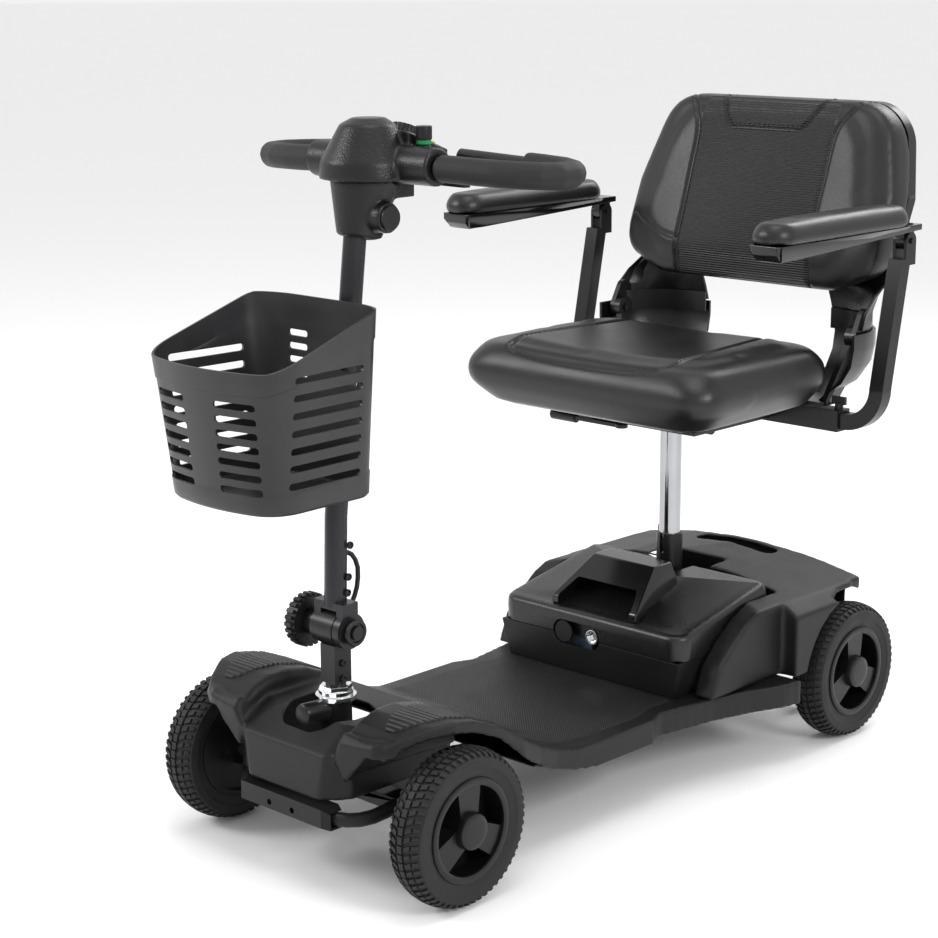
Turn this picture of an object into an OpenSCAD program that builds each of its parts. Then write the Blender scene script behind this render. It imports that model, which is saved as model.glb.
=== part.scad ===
/* [Wheels] */
// Distance between the front and rear axles
wheelbase = 816; // [780:2:880]
// Distance between the middles of the front tyres
front_track = 420; // [410:2:460]
// Distance between the middles of the rear tyres
rear_track = 411; // [405:2:460]
// Outer radius of every tyre
wheel_r = 100; // [90:1:108]
// Width of every tyre
tyre_w = 51; // [42:1:58]
// Radius at which a tyre seats on its rim
rim_r = 66; // [58:1:74]
// Radius of the axles
axle_r = 6; // [5:0.5:8]

/* [Chassis] */
// Height of the floor above the ground
floor_z = 123; // [118:1:135]
// Depth of the skirt round the floor
skirt_h = 33; // [26:1:36]
// Wall of the plastic shrouds
shroud_wall = 4; // [3:0.5:5]
// Half the width of the floor between the wheels
floor_half_w = 186; // [165:1:196]
// Half the width over the rear fenders
fender_half_w = 225; // [215:1:236]
// Thickness of the floor mat
mat_t = 3; // [2:0.5:5]

/* [Steering] */
// Distance from the middle to each kingpin
kingpin_x = 168; // [160:1:170]
// Length of the steering arms
arm_len = 60; // [50:1:70]
// Radius of the steering spindle
spindle_r = 13; // [11:0.5:15]
// Height of the top of the steering neck
neck_top = 214; // [206:1:222]
// Height of the tiller's pivot
pivot_z = 305; // [290:1:330]
// Radius of the tiller's pivot bolt
pivot_r = 8; // [6:0.5:9]
// Radius of the toothed tension knob
knob_r = 35; // [28:1:38]

/* [Tiller] */
// Radius of the tiller tube
tiller_r = 14.25; // [12:0.25:16]
// Wall of the tiller tube
tiller_wall = 2; // [1.5:0.25:3]
// Radius of the handlebar tube
bar_r = 11; // [9:0.5:12]
// Thickness of the foam on the grips
foam_t = 5.75; // [4:0.25:7]
// Half the width of the handlebar over its grips
bar_half_w = 258; // [235:1:280]

/* [Basket] */
// Wall of the basket
basket_wall = 3; // [2.5:0.25:4]
// Half the width of the basket at its rim
basket_half_w = 118; // [105:1:135]
// Height of a slot in the basket
slot_h = 8; // [6:0.5:10]

/* [Battery] */
// Half the width of the battery case at its seam
case_half_w = 164; // [150:1:166]
// Height of the seam between the case and its lid
case_seam_z = 176; // [168:1:186]
// Radius of the charge socket's cover
cover_r = 17; // [14:0.5:19]

/* [Seat] */
// Radius of the chrome seat post
post_r = 15.75; // [14:0.25:17]
// Wall of the lower post tube
socket_wall = 3.25; // [2.5:0.25:5]
// Half the width of the seat cushion
cushion_half_w = 219; // [200:1:232]
// Thickness of the seat cushion
cushion_t = 68; // [56:1:76]
// Half the distance between the backrest's hinges
hinge_half_w = 231; // [226:1:240]
// Distance from the middle to each arm post
arm_x = 275; // [268:1:290]
// Width of the square arm tube
arm_tube_w = 22; // [18:1:24]
// Radius of the armrest hinge bolts
arm_bolt_r = 4; // [3:0.25:5]

/* [Fits] */
// Radial clearance of a running fit
run = 0.05; // [0.02:0.01:0.1]
// Gap between pieces that move past each other
gap = 0.4; // [0.3:0.1:0.6]

/* [Hidden] */
$fn = 48;

// the origin lies on the ground under the middle of the whole length
mid_y = 41;
front_y = -wheelbase / 2;
rear_y = wheelbase / 2;
front_x = front_track / 2;
rear_x = rear_track / 2;
stem_y = front_y - 2;
pivot_y = front_y + 2;
arm_z = 90;
seat_y = 255;
hinge_y = rear_y - 11;
hinge_z = 593;
socket_r = post_r + socket_wall;
grip_r = bar_r + foam_t;

// ---------- shapes used by several pieces ----------

// everything is drawn about the middle of the wheelbase and then set over the origin
module placed() { translate([0, mid_y, 0]) children(); }
module both_sides() {
    children();
    mirror([1, 0, 0]) children();
}
module right_side() { mirror([1, 0, 0]) children(); }
module block(lo, hi) { translate(lo) cube(hi - lo); }
module along_x(x0, x1, y, z, r) {
    translate([x0, y, z]) rotate([0, 90, 0]) cylinder(h = x1 - x0, r = r);
}
module upright(x, y, z0, z1, r) { translate([x, y, z0]) cylinder(h = z1 - z0, r = r); }
module rod(p, q, r) {
    d = q - p;
    translate(p) rotate([0, acos(d[2] / norm(d)), atan2(d[1], d[0])]) cylinder(h = norm(d), r = r);
}
// a side profile in Y and Z, spread over x0 to x1
module profile(points, x0, x1) {
    translate([x0, 0, 0]) rotate([90, 0, 90]) linear_extrude(x1 - x0) polygon(points);
}

function unit(v) = v / norm(v);
function tangent(p, i) = unit(p[min(i + 1, len(p) - 1)] - p[max(i - 1, 0)]);
function ring(p, i, r, side, n) =
    let (t = tangent(p, i), a = unit(cross(t, side)), b = cross(t, a))
    [for (k = [0:n - 1]) p[i] + r * (cos(360 * k / n) * a + sin(360 * k / n) * b)];
function arc(c, r, a0, a1, n) = [for (i = [0:n]) let (a = a0 + (a1 - a0) * i / n) c + r * [cos(a), sin(a)]];
// a round tube swept along a route; side is a direction that the route never takes
module swept(route, r, side = [0, 0, 1], n = 10) {
    last = (len(route) - 1) * n;
    faces = [for (i = [0:len(route) - 2], k = [0:n - 1])
        let (a = i * n + k, b = i * n + (k + 1) % n)
        each [[a, a + n, b], [b, a + n, b + n]]];
    polyhedron([for (i = [0:len(route) - 1]) each ring(route, i, r, side, n)],
        concat(faces, [[for (k = [0:n - 1]) k]], [[for (k = [n - 1:-1:0]) last + k]]));
}

// ---------- chassis, front ----------

module front_frame() color("#202123") placed() {
    rail_in = 50;
    rail_out = 75;
    // the floor rests on the rails
    rail_top = floor_z - shroud_wall - gap;
    difference() {
        union() {
            upright(0, stem_y, 98, neck_top, spindle_r + 7);
            block([-kingpin_x + 20, stem_y - 14, 97], [kingpin_x - 20, stem_y + 14, 115]);
            both_sides() {
                block([kingpin_x - 30, front_y - 12, 75], [kingpin_x - 20, front_y + 12, 125]);
                block([kingpin_x - 22, front_y - 12, 117], [kingpin_x, front_y + 12, 125]);
                block([kingpin_x - 22, front_y - 12, 75], [kingpin_x, front_y + 12, 82]);
                upright(kingpin_x, front_y, 117, 125, 13);
                upright(kingpin_x, front_y, 75, 82, 13);
                block([rail_in, stem_y, 98], [rail_out, 65.7, rail_top]);
            }
            block([-rail_out, 30, 98], [rail_out, 60, rail_top]);
        }
        upright(0, stem_y, 90, neck_top + 1, spindle_r + run);
        both_sides() upright(kingpin_x, front_y, 70, 130, 7 + run);
    }
}

nose_y = front_y - 96;
// half the plan of the floor, from the front of the fenders to the rear fenders
function floor_plan(d) = [[0, -240], [floor_half_w - 6 - d, -240], [floor_half_w - d, -150],
    [floor_half_w - d, -8], [floor_half_w - 11 - d, 20], [floor_half_w + 6 - d, 120],
    [floor_half_w + 24 - d, 180], [floor_half_w + 44 - d, 230], [floor_half_w + 50 - d, 262 - d], [0, 262 - d]];
// the top line of the fenders and of the panel between them, front to rear
fender_line = [[-482, 205], [-462, 219], [-436, 228], [-404, 229], [-370, 222], [-326, 203],
    [-274, 172], [-240, 153], [-200, 135], [-163, floor_z + 2], [-130, floor_z]];

module front_shroud() color("#2c2d2f") placed() {
    difference() {
        union() {
            floor_tray();
            both_sides() fender();
            // sloping panel between the fenders
            profile([[-300, 178], [-240, 153], [-163, floor_z + 2], [-130, floor_z], [-130, floor_z - 4],
                [-163, floor_z - 2], [-240, 149], [-300, 174]], -97, 97);
            difference() {
                nose(0);
                nose(shroud_wall);
            }
        }
        // opening round the neck and over the cover in front of it
        upright(0, stem_y, 90, 300, spindle_r + 16);
        hull() {
            block([-30, stem_y - 52, 176], [30, stem_y, 300]);
            block([-44, stem_y - 40, 260], [44, stem_y, 300]);
        }
        // the running board stops in front of the rear tyres
        both_sides() along_x(fender_half_w - 50, 300, rear_y, wheel_r, wheel_r + 14);
        upright(0, seat_y, 90, 130, socket_r + gap);
    }
}
// floor with a skirt round it, open underneath and at the back
module floor_tray() difference() {
    both_sides() translate([0, 0, floor_z - skirt_h]) linear_extrude(skirt_h) polygon(floor_plan(0));
    both_sides() translate([0, 0, floor_z - skirt_h - 1])
        linear_extrude(skirt_h + 1 - shroud_wall) polygon(floor_plan(shroud_wall));
    block([-104, 250, floor_z - skirt_h - 1], [104, 270, floor_z - shroud_wall]);
    // the skirt rises towards the fenders
    profile([[-250, 80], [-250, 118], [-233, 118], [-163, 95], [-120, 89], [-120, 80]], -220, 220);
}
// curved top with a deep lip over the wheel
module fender() intersection() {
    union() {
        profile(concat(fender_line, [for (i = [10:-1:0]) fender_line[i] - [0, shroud_wall]]), 95, 206);
        profile(concat(fender_line, [for (i = [10:-1:0]) fender_line[i] - [0, i > 5 ? 28 : 16]]), 150, 206);
    }
    difference() {
        translate([0, 0, 90]) linear_extrude(160) polygon(fender_plan(0));
        translate([0, 0, 90]) linear_extrude(70) polygon([[0, -600], [300, -600], [300, -420], [0, -420]]);
        // hollow under the top, inside the lip
        intersection() {
            translate([0, 0, 90]) linear_extrude(160) polygon(fender_plan(shroud_wall));
            profile([for (q = concat(fender_line, [[-130, 60], [-500, 60]])) q - [0, shroud_wall]], 99, 260);
        }
    }
}
function fender_plan(d) = [[95, -499 + d], [150 - d, -494 + d], [166 - d, -480 + d / 2], [180 - d, -462],
    [194 - d, -438], [204 - d, -408], [205 - d, -340], [203 - d, -280], [192 - d, -240], [floor_half_w - d, -200],
    [floor_half_w - d, -131], [95, -131]];
module nose(d) hull() {
    block([-64 + d, nose_y + 2 + d, 118 - d], [64 - d, nose_y + 60, 119 - d]);
    block([-92 + d, nose_y + 34, 118 - d], [92 - d, -301 + d, 119 - d]);
    block([-74 + d, nose_y + 4 + d, 177], [74 - d, nose_y + 60, 178]);
    block([-99 + d, nose_y + 30, 181], [99 - d, -301 + d, 182]);
    block([-60 + d, nose_y + 50 + d, 203 - d], [60 - d, -330, 204 - d]);
    block([-99 + d, nose_y + 64, 203 - d], [99 - d, -330 + d, 204 - d]);
}

module foot_mats() color("#262729") placed() {
    mat_half = floor_half_w - 22;
    block([-mat_half, -126, floor_z], [mat_half, -4, floor_z + mat_t]);
    block([-mat_half + 8, -4, floor_z], [mat_half - 8, 64, floor_z + mat_t]);
    // ribbed pads on the fenders
    both_sides() profile([[-440, 228.6], [-404, 229.4], [-370, 222.4], [-326, 203.6], [-290, 182.3],
        [-289, 184.9], [-325, 206.4], [-369, 225.3], [-404, 232.4], [-440, 231.6]], 124, 196);
}

module front_bumper() color("#1f2022") placed() {
    leg = [[118, front_y - 13, 106], [116, front_y - 30, 102], [112, front_y - 48, 99],
        [104, front_y - 62, 97], [92, front_y - 72, 96], [74, front_y - 80, 96]];
    far_leg = [for (i = [len(leg) - 1:-1:0]) [-leg[i][0], leg[i][1], leg[i][2]]];
    difference() {
        swept(concat(leg, far_leg), 9, n = 12);
        block([-160, stem_y - 14, 60], [160, 0, 130]);
    }
    // plastic cover over the middle of the tube
    difference() {
        hull() {
            block([-74, front_y - 99, 88], [74, front_y - 70, 112]);
            block([-82, front_y - 90, 84], [82, front_y - 70, 104]);
        }
        block([-90, front_y - 89.4, 86.6], [90, front_y, 105.4]);
        for (x = [-21, 21]) translate([x, front_y - 80, 97]) rotate([90, 0, 0]) cylinder(h = 30, r = 4);
    }
}

module headset_nuts() color("silver") placed() difference() {
    union() {
        upright(0, stem_y, neck_top + gap, neck_top + 6, spindle_r + 13);
        upright(0, stem_y, neck_top + 6, neck_top + 12, spindle_r + 9);
        translate([0, stem_y, neck_top + 12]) cylinder(h = 6, r = spindle_r + 8, $fn = 6);
    }
    upright(0, stem_y, neck_top, neck_top + 20, spindle_r);
}

// ---------- chassis, rear ----------

module rear_frame() color("#202123") placed() difference() {
    union() {
        both_sides() block([80, -2, 98], [102, rear_y - 30, 114]);
        block([-102, 66, 98], [102, 88, 114]);
        block([-102, seat_y - 20, 98], [102, seat_y + 20, 114]);
        block([-102, 286, 98], [102, 332, 114]);
        // lower post tube
        upright(0, seat_y, 98, 300, socket_r);
        both_sides() block([80, rear_y - 30, 92], [102, rear_y + 20, 124]);
    }
    upright(0, seat_y, 110, 301, post_r + run);
    block([-3, seat_y - 30, 272], [3, seat_y, 301]);
    both_sides() along_x(70, 110, rear_y, wheel_r, 13);
}

module rear_profile(d) {
    // a side view of the rear shroud, d inside its surface
    polygon([[100 + d, floor_z + gap], [118 + d, 168], [146, 194 - d], [180, 219 - d], [230, 240 - d],
        [300, 251 - d], [400, 256 - d], [445 - d, 254 - d], [456 - d, 238], [456 - d, floor_z + gap]]);
}
// the shroud is highest in the middle
module crown(d) {
    rotate([90, 0, 0]) translate([0, 0, -500]) linear_extrude(500) polygon([[-fender_half_w - 1, 100],
        [-fender_half_w - 1, 212 - d], [-200, 229 - d], [-100, 247 - d], [0, 256 - d], [100, 247 - d],
        [200, 229 - d], [fender_half_w + 1, 212 - d], [fender_half_w + 1, 100]]);
}
module rear_solid(half, d) intersection() {
    rotate([90, 0, 90]) translate([0, 0, -half + d]) linear_extrude(2 * half - 2 * d) rear_profile(d);
    crown(d);
}
module rear_shroud() color("#2e2f31") placed() difference() {
    union() {
        difference() {
            rear_solid(200, 0);
            rear_solid(200, shroud_wall);
        }
        // fenders: arches over the rear tyres
        both_sides() intersection() {
            rear_solid(fender_half_w, 0);
            block([180, 262, floor_z + gap], [fender_half_w, 426, 300]);
            difference() {
                along_x(180, fender_half_w, rear_y, wheel_r, wheel_r + 160);
                along_x(204, fender_half_w - shroud_wall, rear_y, wheel_r, wheel_r + 24);
            }
        }
    }
    // room for the battery and for the post
    hull() {
        block([-case_half_w - 3, 60, floor_z - 1], [case_half_w + 3, 288, 180]);
        block([-case_half_w - 3, 60, 300], [case_half_w + 3, 288, 301]);
    }
    block([-46, 200, 180], [46, 330, 300]);
    // wheel arches
    both_sides() along_x(176, 300, rear_y, wheel_r, wheel_r + 18);
    // hand hold at the back
    hull() for (x = [-58, 58]) upright(x, 418, 200, 300, 13);
    // the freewheel lever's slot
    block([-68, 292, 200], [-52, 342, 300]);
}

module transaxle() color("#3a3b3d") placed() {
    along_x(-104, 104, rear_y, wheel_r, 13);
    along_x(-rear_x - 27, rear_x + 27, rear_y, wheel_r, axle_r);
    both_sides() along_x(104, 150, rear_y, wheel_r, 22);
    both_sides() along_x(150, rear_x - tyre_w / 2 - 3, rear_y, wheel_r, 16);
    hull() {
        along_x(-56, 24, rear_y, wheel_r, 42);
        along_x(-40, 8, rear_y - 46, wheel_r + 14, 26);
        along_x(-30, 24, rear_y - 46, wheel_r + 34, 24);
    }
}

module drive_motor() color("#4a4b4e") placed() {
    // motor with its park brake at the end
    along_x(24.4, 76, rear_y - 46, wheel_r + 34, 24);
    // park brake release arm and the pin that the lever turns on
    block([-69, 312, 146], [-64.6, 322, 202]);
    block([-69, 312, 146], [-26, 322, 152]);
    block([-34, 312, 146], [-26, 340.8, 152]);
    along_x(-69, -54, 317, 196, 4);
}

module controller() color("#55585c") placed() {
    block([-40, 290, 114.3], [60, 328, 140]);
    for (x = [-34:12:54]) block([x, 292, 140], [x + 3, 326, 145]);
}

module anti_tip_bracket() color("#202123") placed() difference() {
    union() {
        both_sides() {
            block([90, rear_y + 20, 100], [98, rear_y + 62, 112]);
            block([90, rear_y + 54, 32], [98, rear_y + 62, 112]);
            along_x(90, 98, rear_y + 58, 30, 9);
        }
        block([-98, rear_y + 50, 100], [98, rear_y + 62, 110]);
    }
    along_x(-120, 120, rear_y + 58, 30, 4 + run);
}

module anti_tip_wheels() color("#18191a") placed() {
    along_x(-112, 112, rear_y + 58, 30, 4);
    both_sides() along_x(99, 114, rear_y + 58, 30, 20);
}

module freewheel_lever() color("#c01518") placed() difference() {
    union() {
        along_x(-64, -56, 317, 196, 8);
        block([-64, 312, 200], [-56, 322, 282]);
        along_x(-66, -54, 317, 284, 8);
    }
    along_x(-70, -50, 317, 196, 4 + run);
}

// ---------- steering ----------

module steering_stem() color("#242527") placed() difference() {
    union() {
        upright(0, stem_y, 84, 236, spindle_r);
        upright(0, stem_y, 84, 94, spindle_r + 7);
        block([-10, stem_y, 84], [10, stem_y + arm_len, 94]);
        upright(0, stem_y + arm_len, 84, 94, 10);
        // boxed post under the pivot
        block([-13, stem_y - 13, 236], [13, stem_y + 15, 286]);
        along_x(-14, 14, pivot_y, pivot_z, 24);
    }
    along_x(-30, 30, pivot_y, pivot_z, pivot_r + run);
    upright(0, stem_y + arm_len, 80, 100, 4 + run);
}

module track_rod() color("#2a2b2d") placed() {
    block([-kingpin_x, stem_y + arm_len - 5, 73], [kingpin_x, stem_y + arm_len + 7, 83]);
    upright(0, stem_y + arm_len, 83, 97, 4);
    both_sides() {
        upright(kingpin_x, front_y + arm_len, 73, 83.5, 9);
        upright(kingpin_x, front_y + arm_len, 83, 97, 4);
    }
}

module knuckle() difference() {
    union() {
        upright(kingpin_x, front_y, 82.5, 116.5, 13);
        upright(kingpin_x, front_y, 74, 127, 7);
        along_x(kingpin_x, front_x + 27, front_y, wheel_r, axle_r);
        along_x(kingpin_x, front_x - tyre_w / 2 + 0.5, front_y, wheel_r, 10);
        block([kingpin_x - 8, front_y, 84], [kingpin_x + 8, front_y + arm_len, 94]);
        upright(kingpin_x, front_y + arm_len, 84, 94, 9);
    }
    upright(kingpin_x, front_y + arm_len, 80, 100, 4 + run);
}
module knuckle_left() color("#3a3b3d") placed() knuckle();
module knuckle_right() color("#3a3b3d") placed() right_side() knuckle();

// ---------- wheels, drawn about the axle with their outer face towards +X ----------

module tyre() rotate([0, 90, 0]) rotate_extrude($fn = 96) polygon([
    [rim_r, -tyre_w / 2 + 3], [rim_r + 8, -tyre_w / 2], [wheel_r - 14, -tyre_w / 2], [wheel_r - 4, -tyre_w / 2 + 6],
    [wheel_r, -tyre_w / 2 + 15], [wheel_r, tyre_w / 2 - 15], [wheel_r - 4, tyre_w / 2 - 6],
    [wheel_r - 14, tyre_w / 2], [rim_r + 8, tyre_w / 2], [rim_r, tyre_w / 2 - 3]]);

module rim() rotate([0, 90, 0]) difference() {
    face = tyre_w / 2 - 6;
    union() {
        difference() {
            cylinder(h = tyre_w - 6, r = rim_r, center = true, $fn = 96);
            cylinder(h = tyre_w, r = rim_r - 7, center = true, $fn = 96);
        }
        translate([0, 0, -tyre_w / 2 + 9]) cylinder(h = 6, r = rim_r - 5);
        translate([0, 0, -tyre_w / 2 + 1]) cylinder(h = tyre_w - 3, r = 23);
        // three broad spokes
        for (a = [0, 120, 240]) rotate(a + 60)
            translate([0, 0, -tyre_w / 2 + 9]) linear_extrude(face + tyre_w / 2 - 9)
            polygon([[10, -14], [rim_r - 5, -20], [rim_r - 5, 20], [10, 14]]);
    }
    cylinder(h = tyre_w + 10, r = axle_r + run, center = true);
}
module at_wheel(x, y) { placed() translate([x, y, wheel_r]) children(); }
module tyre_front_left() color("#2b2b2c") at_wheel(front_x, front_y) tyre();
module tyre_front_right() color("#2b2b2c") at_wheel(-front_x, front_y) right_side() tyre();
module tyre_rear_left() color("#2b2b2c") at_wheel(rear_x, rear_y) tyre();
module tyre_rear_right() color("#2b2b2c") at_wheel(-rear_x, rear_y) right_side() tyre();
module rim_front_left() color("#232425") at_wheel(front_x, front_y) rim();
module rim_front_right() color("#232425") at_wheel(-front_x, front_y) right_side() rim();
module rim_rear_left() color("#232425") at_wheel(rear_x, rear_y) rim();
module rim_rear_right() color("#232425") at_wheel(-rear_x, rear_y) right_side() rim();

// ---------- tiller ----------

tube_low = [0, pivot_y - 2, pivot_z + 30];
tube_bend = [0, pivot_y + 2, pivot_z + 143];
tube_top = [0, pivot_y + 43, pivot_z + 490];
tiller_route = [tube_low, 0.25 * tube_low + 0.75 * tube_bend, tube_bend, 0.9 * tube_bend + 0.1 * tube_top, tube_top];

module tiller_tube() color("#3a3c3f") placed() {
    difference() {
        union() {
            difference() {
                swept(tiller_route, tiller_r, side = [1, 0, 0], n = 24);
                swept(concat([tiller_route[0] + [0, 0, 14]], [for (i = [1:3]) tiller_route[i]],
                    [tube_top + [0, 0.12, 1]]), tiller_r - tiller_wall, side = [1, 0, 0], n = 24);
            }
            // fork round the stem's barrel
            difference() {
                block([-26, pivot_y - 14, pivot_z + 26], [26, pivot_y + 12, pivot_z + 36]);
                swept(tiller_route, tiller_r - 0.5, side = [1, 0, 0], n = 24);
            }
            both_sides() {
                along_x(14 + gap, 26, pivot_y, pivot_z, 23);
                block([14 + gap, pivot_y - 14, pivot_z], [26, pivot_y + 12, pivot_z + 30]);
            }
        }
        along_x(-30, 30, pivot_y, pivot_z, pivot_r);
    }
}

module fasteners() color("#303133") placed() {
    // pivot bolt with its round head on the left and its thread out to the knob
    along_x(-62, 26, pivot_y, pivot_z, pivot_r);
    along_x(26, 33, pivot_y, pivot_z, 14);
    difference() {
        along_x(-45, -26, pivot_y, pivot_z, 17);
        along_x(-46, -25, pivot_y, pivot_z, pivot_r);
    }
}

module tension_knob() color("#1b1c1d") placed() difference() {
    union() {
        along_x(-62, -45 - gap, pivot_y, pivot_z, knob_r - 4);
        for (a = [0:15:345]) translate([0, pivot_y, pivot_z]) rotate([a, 0, 0])
            block([-60, -2.5, knob_r - 8], [-48, 2.5, knob_r]);
    }
    along_x(-70, -40, pivot_y, pivot_z, pivot_r + run);
}

head_y = -362;
module head_lower() color("#333436") placed() difference() {
    union() {
        hull() {
            translate([0, head_y + 2, 793]) cylinder(h = 1, r = 25);
            translate([0, head_y + 16, 785]) cylinder(h = 1, r = 20);
            translate([0, head_y + 17, 857]) resize([88, 84, 1]) cylinder(h = 1, r = 40);
        }
        // switch box behind the neck
        block([-30, head_y + 40, 834], [30, head_y + 72, 856]);
        along_x(24, 46, head_y + 12, 814, 19);
    }
    rod(tube_bend, tube_top + gap * unit(tube_top - tube_bend), tiller_r);
    along_x(-110, 110, head_y + 37, 876, 23);
    upright(0, head_y + 90, 830, 864, 12 + gap);
}

// the console slopes down to the rider
console_tilt = atan(26 / 72);
module on_console(x, y) {
    translate([x, head_y + y, 916 - (y - 42) * 26 / 72]) rotate([-console_tilt, 0, 0]) children();
}
module head_upper() color("#333436") placed() difference() {
    union() {
        hull() {
            translate([0, head_y + 14, 858]) resize([116, 100, 1]) cylinder(h = 1, r = 40);
            translate([0, head_y + 16, 878]) resize([112, 104, 1]) cylinder(h = 1, r = 40);
            translate([0, head_y + 22, 922]) resize([70, 66, 1]) cylinder(h = 1, r = 40);
            translate([0, head_y + 24, 930]) resize([40, 40, 1]) cylinder(h = 1, r = 40);
        }
        // console behind, sloping down to the rider
        hull() {
            block([-52, head_y + 40, 862], [52, head_y + 42, 916]);
            block([-46, head_y + 112, 868], [46, head_y + 114, 890]);
        }
        // bosses that take the handlebar
        along_x(-bar_half_w + 153, bar_half_w - 153, head_y + 37, 876, 23);
        both_sides() upright(62, head_y + 56, 876, 900, 9);
    }
    along_x(-bar_half_w, bar_half_w, head_y + 37, 876, bar_r);
    // the throttle lever works under the console
    block([-120, head_y + 78, 840], [120, head_y + 140, 866]);
    upright(0, head_y + 90, 866, 872, 5);
    on_console(30, 98) upright(0, 0, -7, 5, 6 + gap);
}

// route of one side of the handlebar, from the middle round to the console
bar_y = head_y + 37;
function bar_side(s) = [for (p = [[0, 0, 876], [60, 0, 876], [104, 0, 875], [150, 3, 874], [184, 9, 873],
    [210, 20, 872], [229, 36, 871], [bar_half_w - 18, 56, 870], [bar_half_w - 18, 76, 870], [229, 95, 870],
    [206, 106, 871], [180, 107, 872], [150, 101, 874], [120, 94, 876], [90, 88, 878], [62, 82, 880]])
    [s * p[0], bar_y + p[1], p[2]]];
module handlebar() color("#2a2b2d") placed() {
    difference() {
        union() {
            swept(bar_side(1), bar_r, n = 12);
            swept(bar_side(-1), bar_r, n = 12);
        }
        block([-bar_half_w + 153, -500, 800], [bar_half_w - 153, bar_y + 40, 950]);
        block([-60, -500, 800], [60, 0, 950]);
    }
    along_x(-bar_half_w + 153, bar_half_w - 153, bar_y, 876, bar_r);
}
module foam_grips() color("#353637") placed() for (s = [1, -1]) difference() {
    grip = [for (i = [2:12]) bar_side(s)[i]] + [for (i = [2:12]) [s * 4, 0, 0]];
    swept(grip, grip_r, n = 12);
    swept(bar_side(s), bar_r + gap / 2, n = 12);
}

module console_fittings() color("#1f8a4c") placed() {
    // green collar round the key, charge gauge and the disc on the side of the neck
    difference() {
        upright(62, head_y + 56, 900, 905, 9);
        upright(62, head_y + 56, 899, 906, 4);
    }
    along_x(46, 50, head_y + 12, 814, 15);
}

module ignition_key() color("#1d1e1f") placed() {
    upright(62, head_y + 56, 900 + gap, 906, 4 - run);
    upright(62, head_y + 56, 905 + gap, 922, 10);
}

module speed_dial() color("#1d1e1f") placed() on_console(0, 80) difference() {
    upright(0, 0, gap, 17, 15);
    for (a = [0:30:330]) rotate(a) translate([15.5, 0, -1]) cylinder(h = 20, r = 1.6, $fn = 16);
}

module horn_button() color("#c8a415") placed() on_console(30, 98) upright(0, 0, -2, 4, 6);

module throttle_lever() color("#1d1e1f") placed() difference() {
    union() {
        upright(0, head_y + 90, 846, 862, 12);
        upright(0, head_y + 90, 862, 871, 5 - run);
        both_sides() hull() {
            upright(6, head_y + 94, 848, 858, 5);
            upright(84, head_y + 104, 846, 860, 6);
        }
    }
}

module basket_bracket() color("#202123") placed() {
    difference() {
        block([-24, -414.6, 664], [24, -360, 700]);
        rod(tube_bend, tube_top, tiller_r);
    }
}

// the loop leaves the tube above the pivot and goes into the stem under it
harness_route = [[0, -390.4, 400], [0, -386, 398], [0, -379, 394], [0, -373, 386], [0, -369, 375], [0, -369, 362],
    [0, -371, 350], [0, -375, 340], [0, -381, 330], [0, -387.4, 321.8]];
module tiller_harness() color("#151516") placed() swept(harness_route, 3.2, side = [1, 0, 0], n = 8);

// ---------- basket ----------

// corners of the basket's left half in plan, d inside its outer face: front middle, front side, rear side, rear
function basket_low(d) = [[0, -603 + d], [basket_half_w - 19 - d, -584 + d], [basket_half_w - 22 - d, -440 - d],
    [basket_half_w - 52 - d, -426 - d]];
function basket_rim(d) = [[0, -622 + d], [basket_half_w - 6 - d, -594 + d], [basket_half_w - 12 - d, -436 - d],
    [basket_half_w - 46 - d, -421 - d]];
rim_z = [663, 665, 714, 719];
module basket_form(d, lift, cap) hull() {
    for (s = [1, -1], i = [0:3]) {
        low = basket_low(d)[i];
        rim = basket_rim(d)[i];
        translate([s * low[0], low[1], 495 + lift]) cylinder(h = 1, r = 6, $fn = 24);
        translate([s * rim[0], rim[1], rim_z[i]]) cylinder(h = 1 + cap, r = 6, $fn = 24);
    }
}
module basket() color("#3b3c3e") placed() difference() {
    basket_form(0, 0, 0);
    basket_form(basket_wall, basket_wall, 1);
    for (k = [0:6]) {
        z = 528 + k * 16;
        // front slots either side of the middle
        for (s = [1, -1]) translate([s * 56, -590, z]) rotate([0, 0, s * 12]) cube([62, 60, slot_h], center = true);
        // long side slots
        block([-150, -566, z - slot_h / 2], [150, -462, z + slot_h / 2]);
    }
    for (z = [640, 656, 672]) both_sides() block([34, -440, z - slot_h / 2], [62, -400, z + slot_h / 2]);
}

// ---------- battery ----------

module charge_recess() hull() {
    for (x = [-46, 4]) translate([x, 84, case_seam_z + 4]) rotate([90, 0, 0]) cylinder(h = 30, r = cover_r + 1);
}
module battery_case() color("#1d1e1f") placed() difference() {
    hull() {
        block([-case_half_w + 12, 77, floor_z + gap], [case_half_w - 12, 225, floor_z + 6]);
        block([-case_half_w, 72, case_seam_z - 1], [case_half_w, 280, case_seam_z]);
    }
    hull() {
        block([-case_half_w + 16, 81, floor_z + 4], [case_half_w - 16, 221, floor_z + 10]);
        block([-case_half_w + 4, 76, case_seam_z], [case_half_w - 4, 224, case_seam_z + 1]);
    }
    charge_recess();
    // notch for the post
    block([-30, 228, 100], [30, 300, 300]);
}

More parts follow.
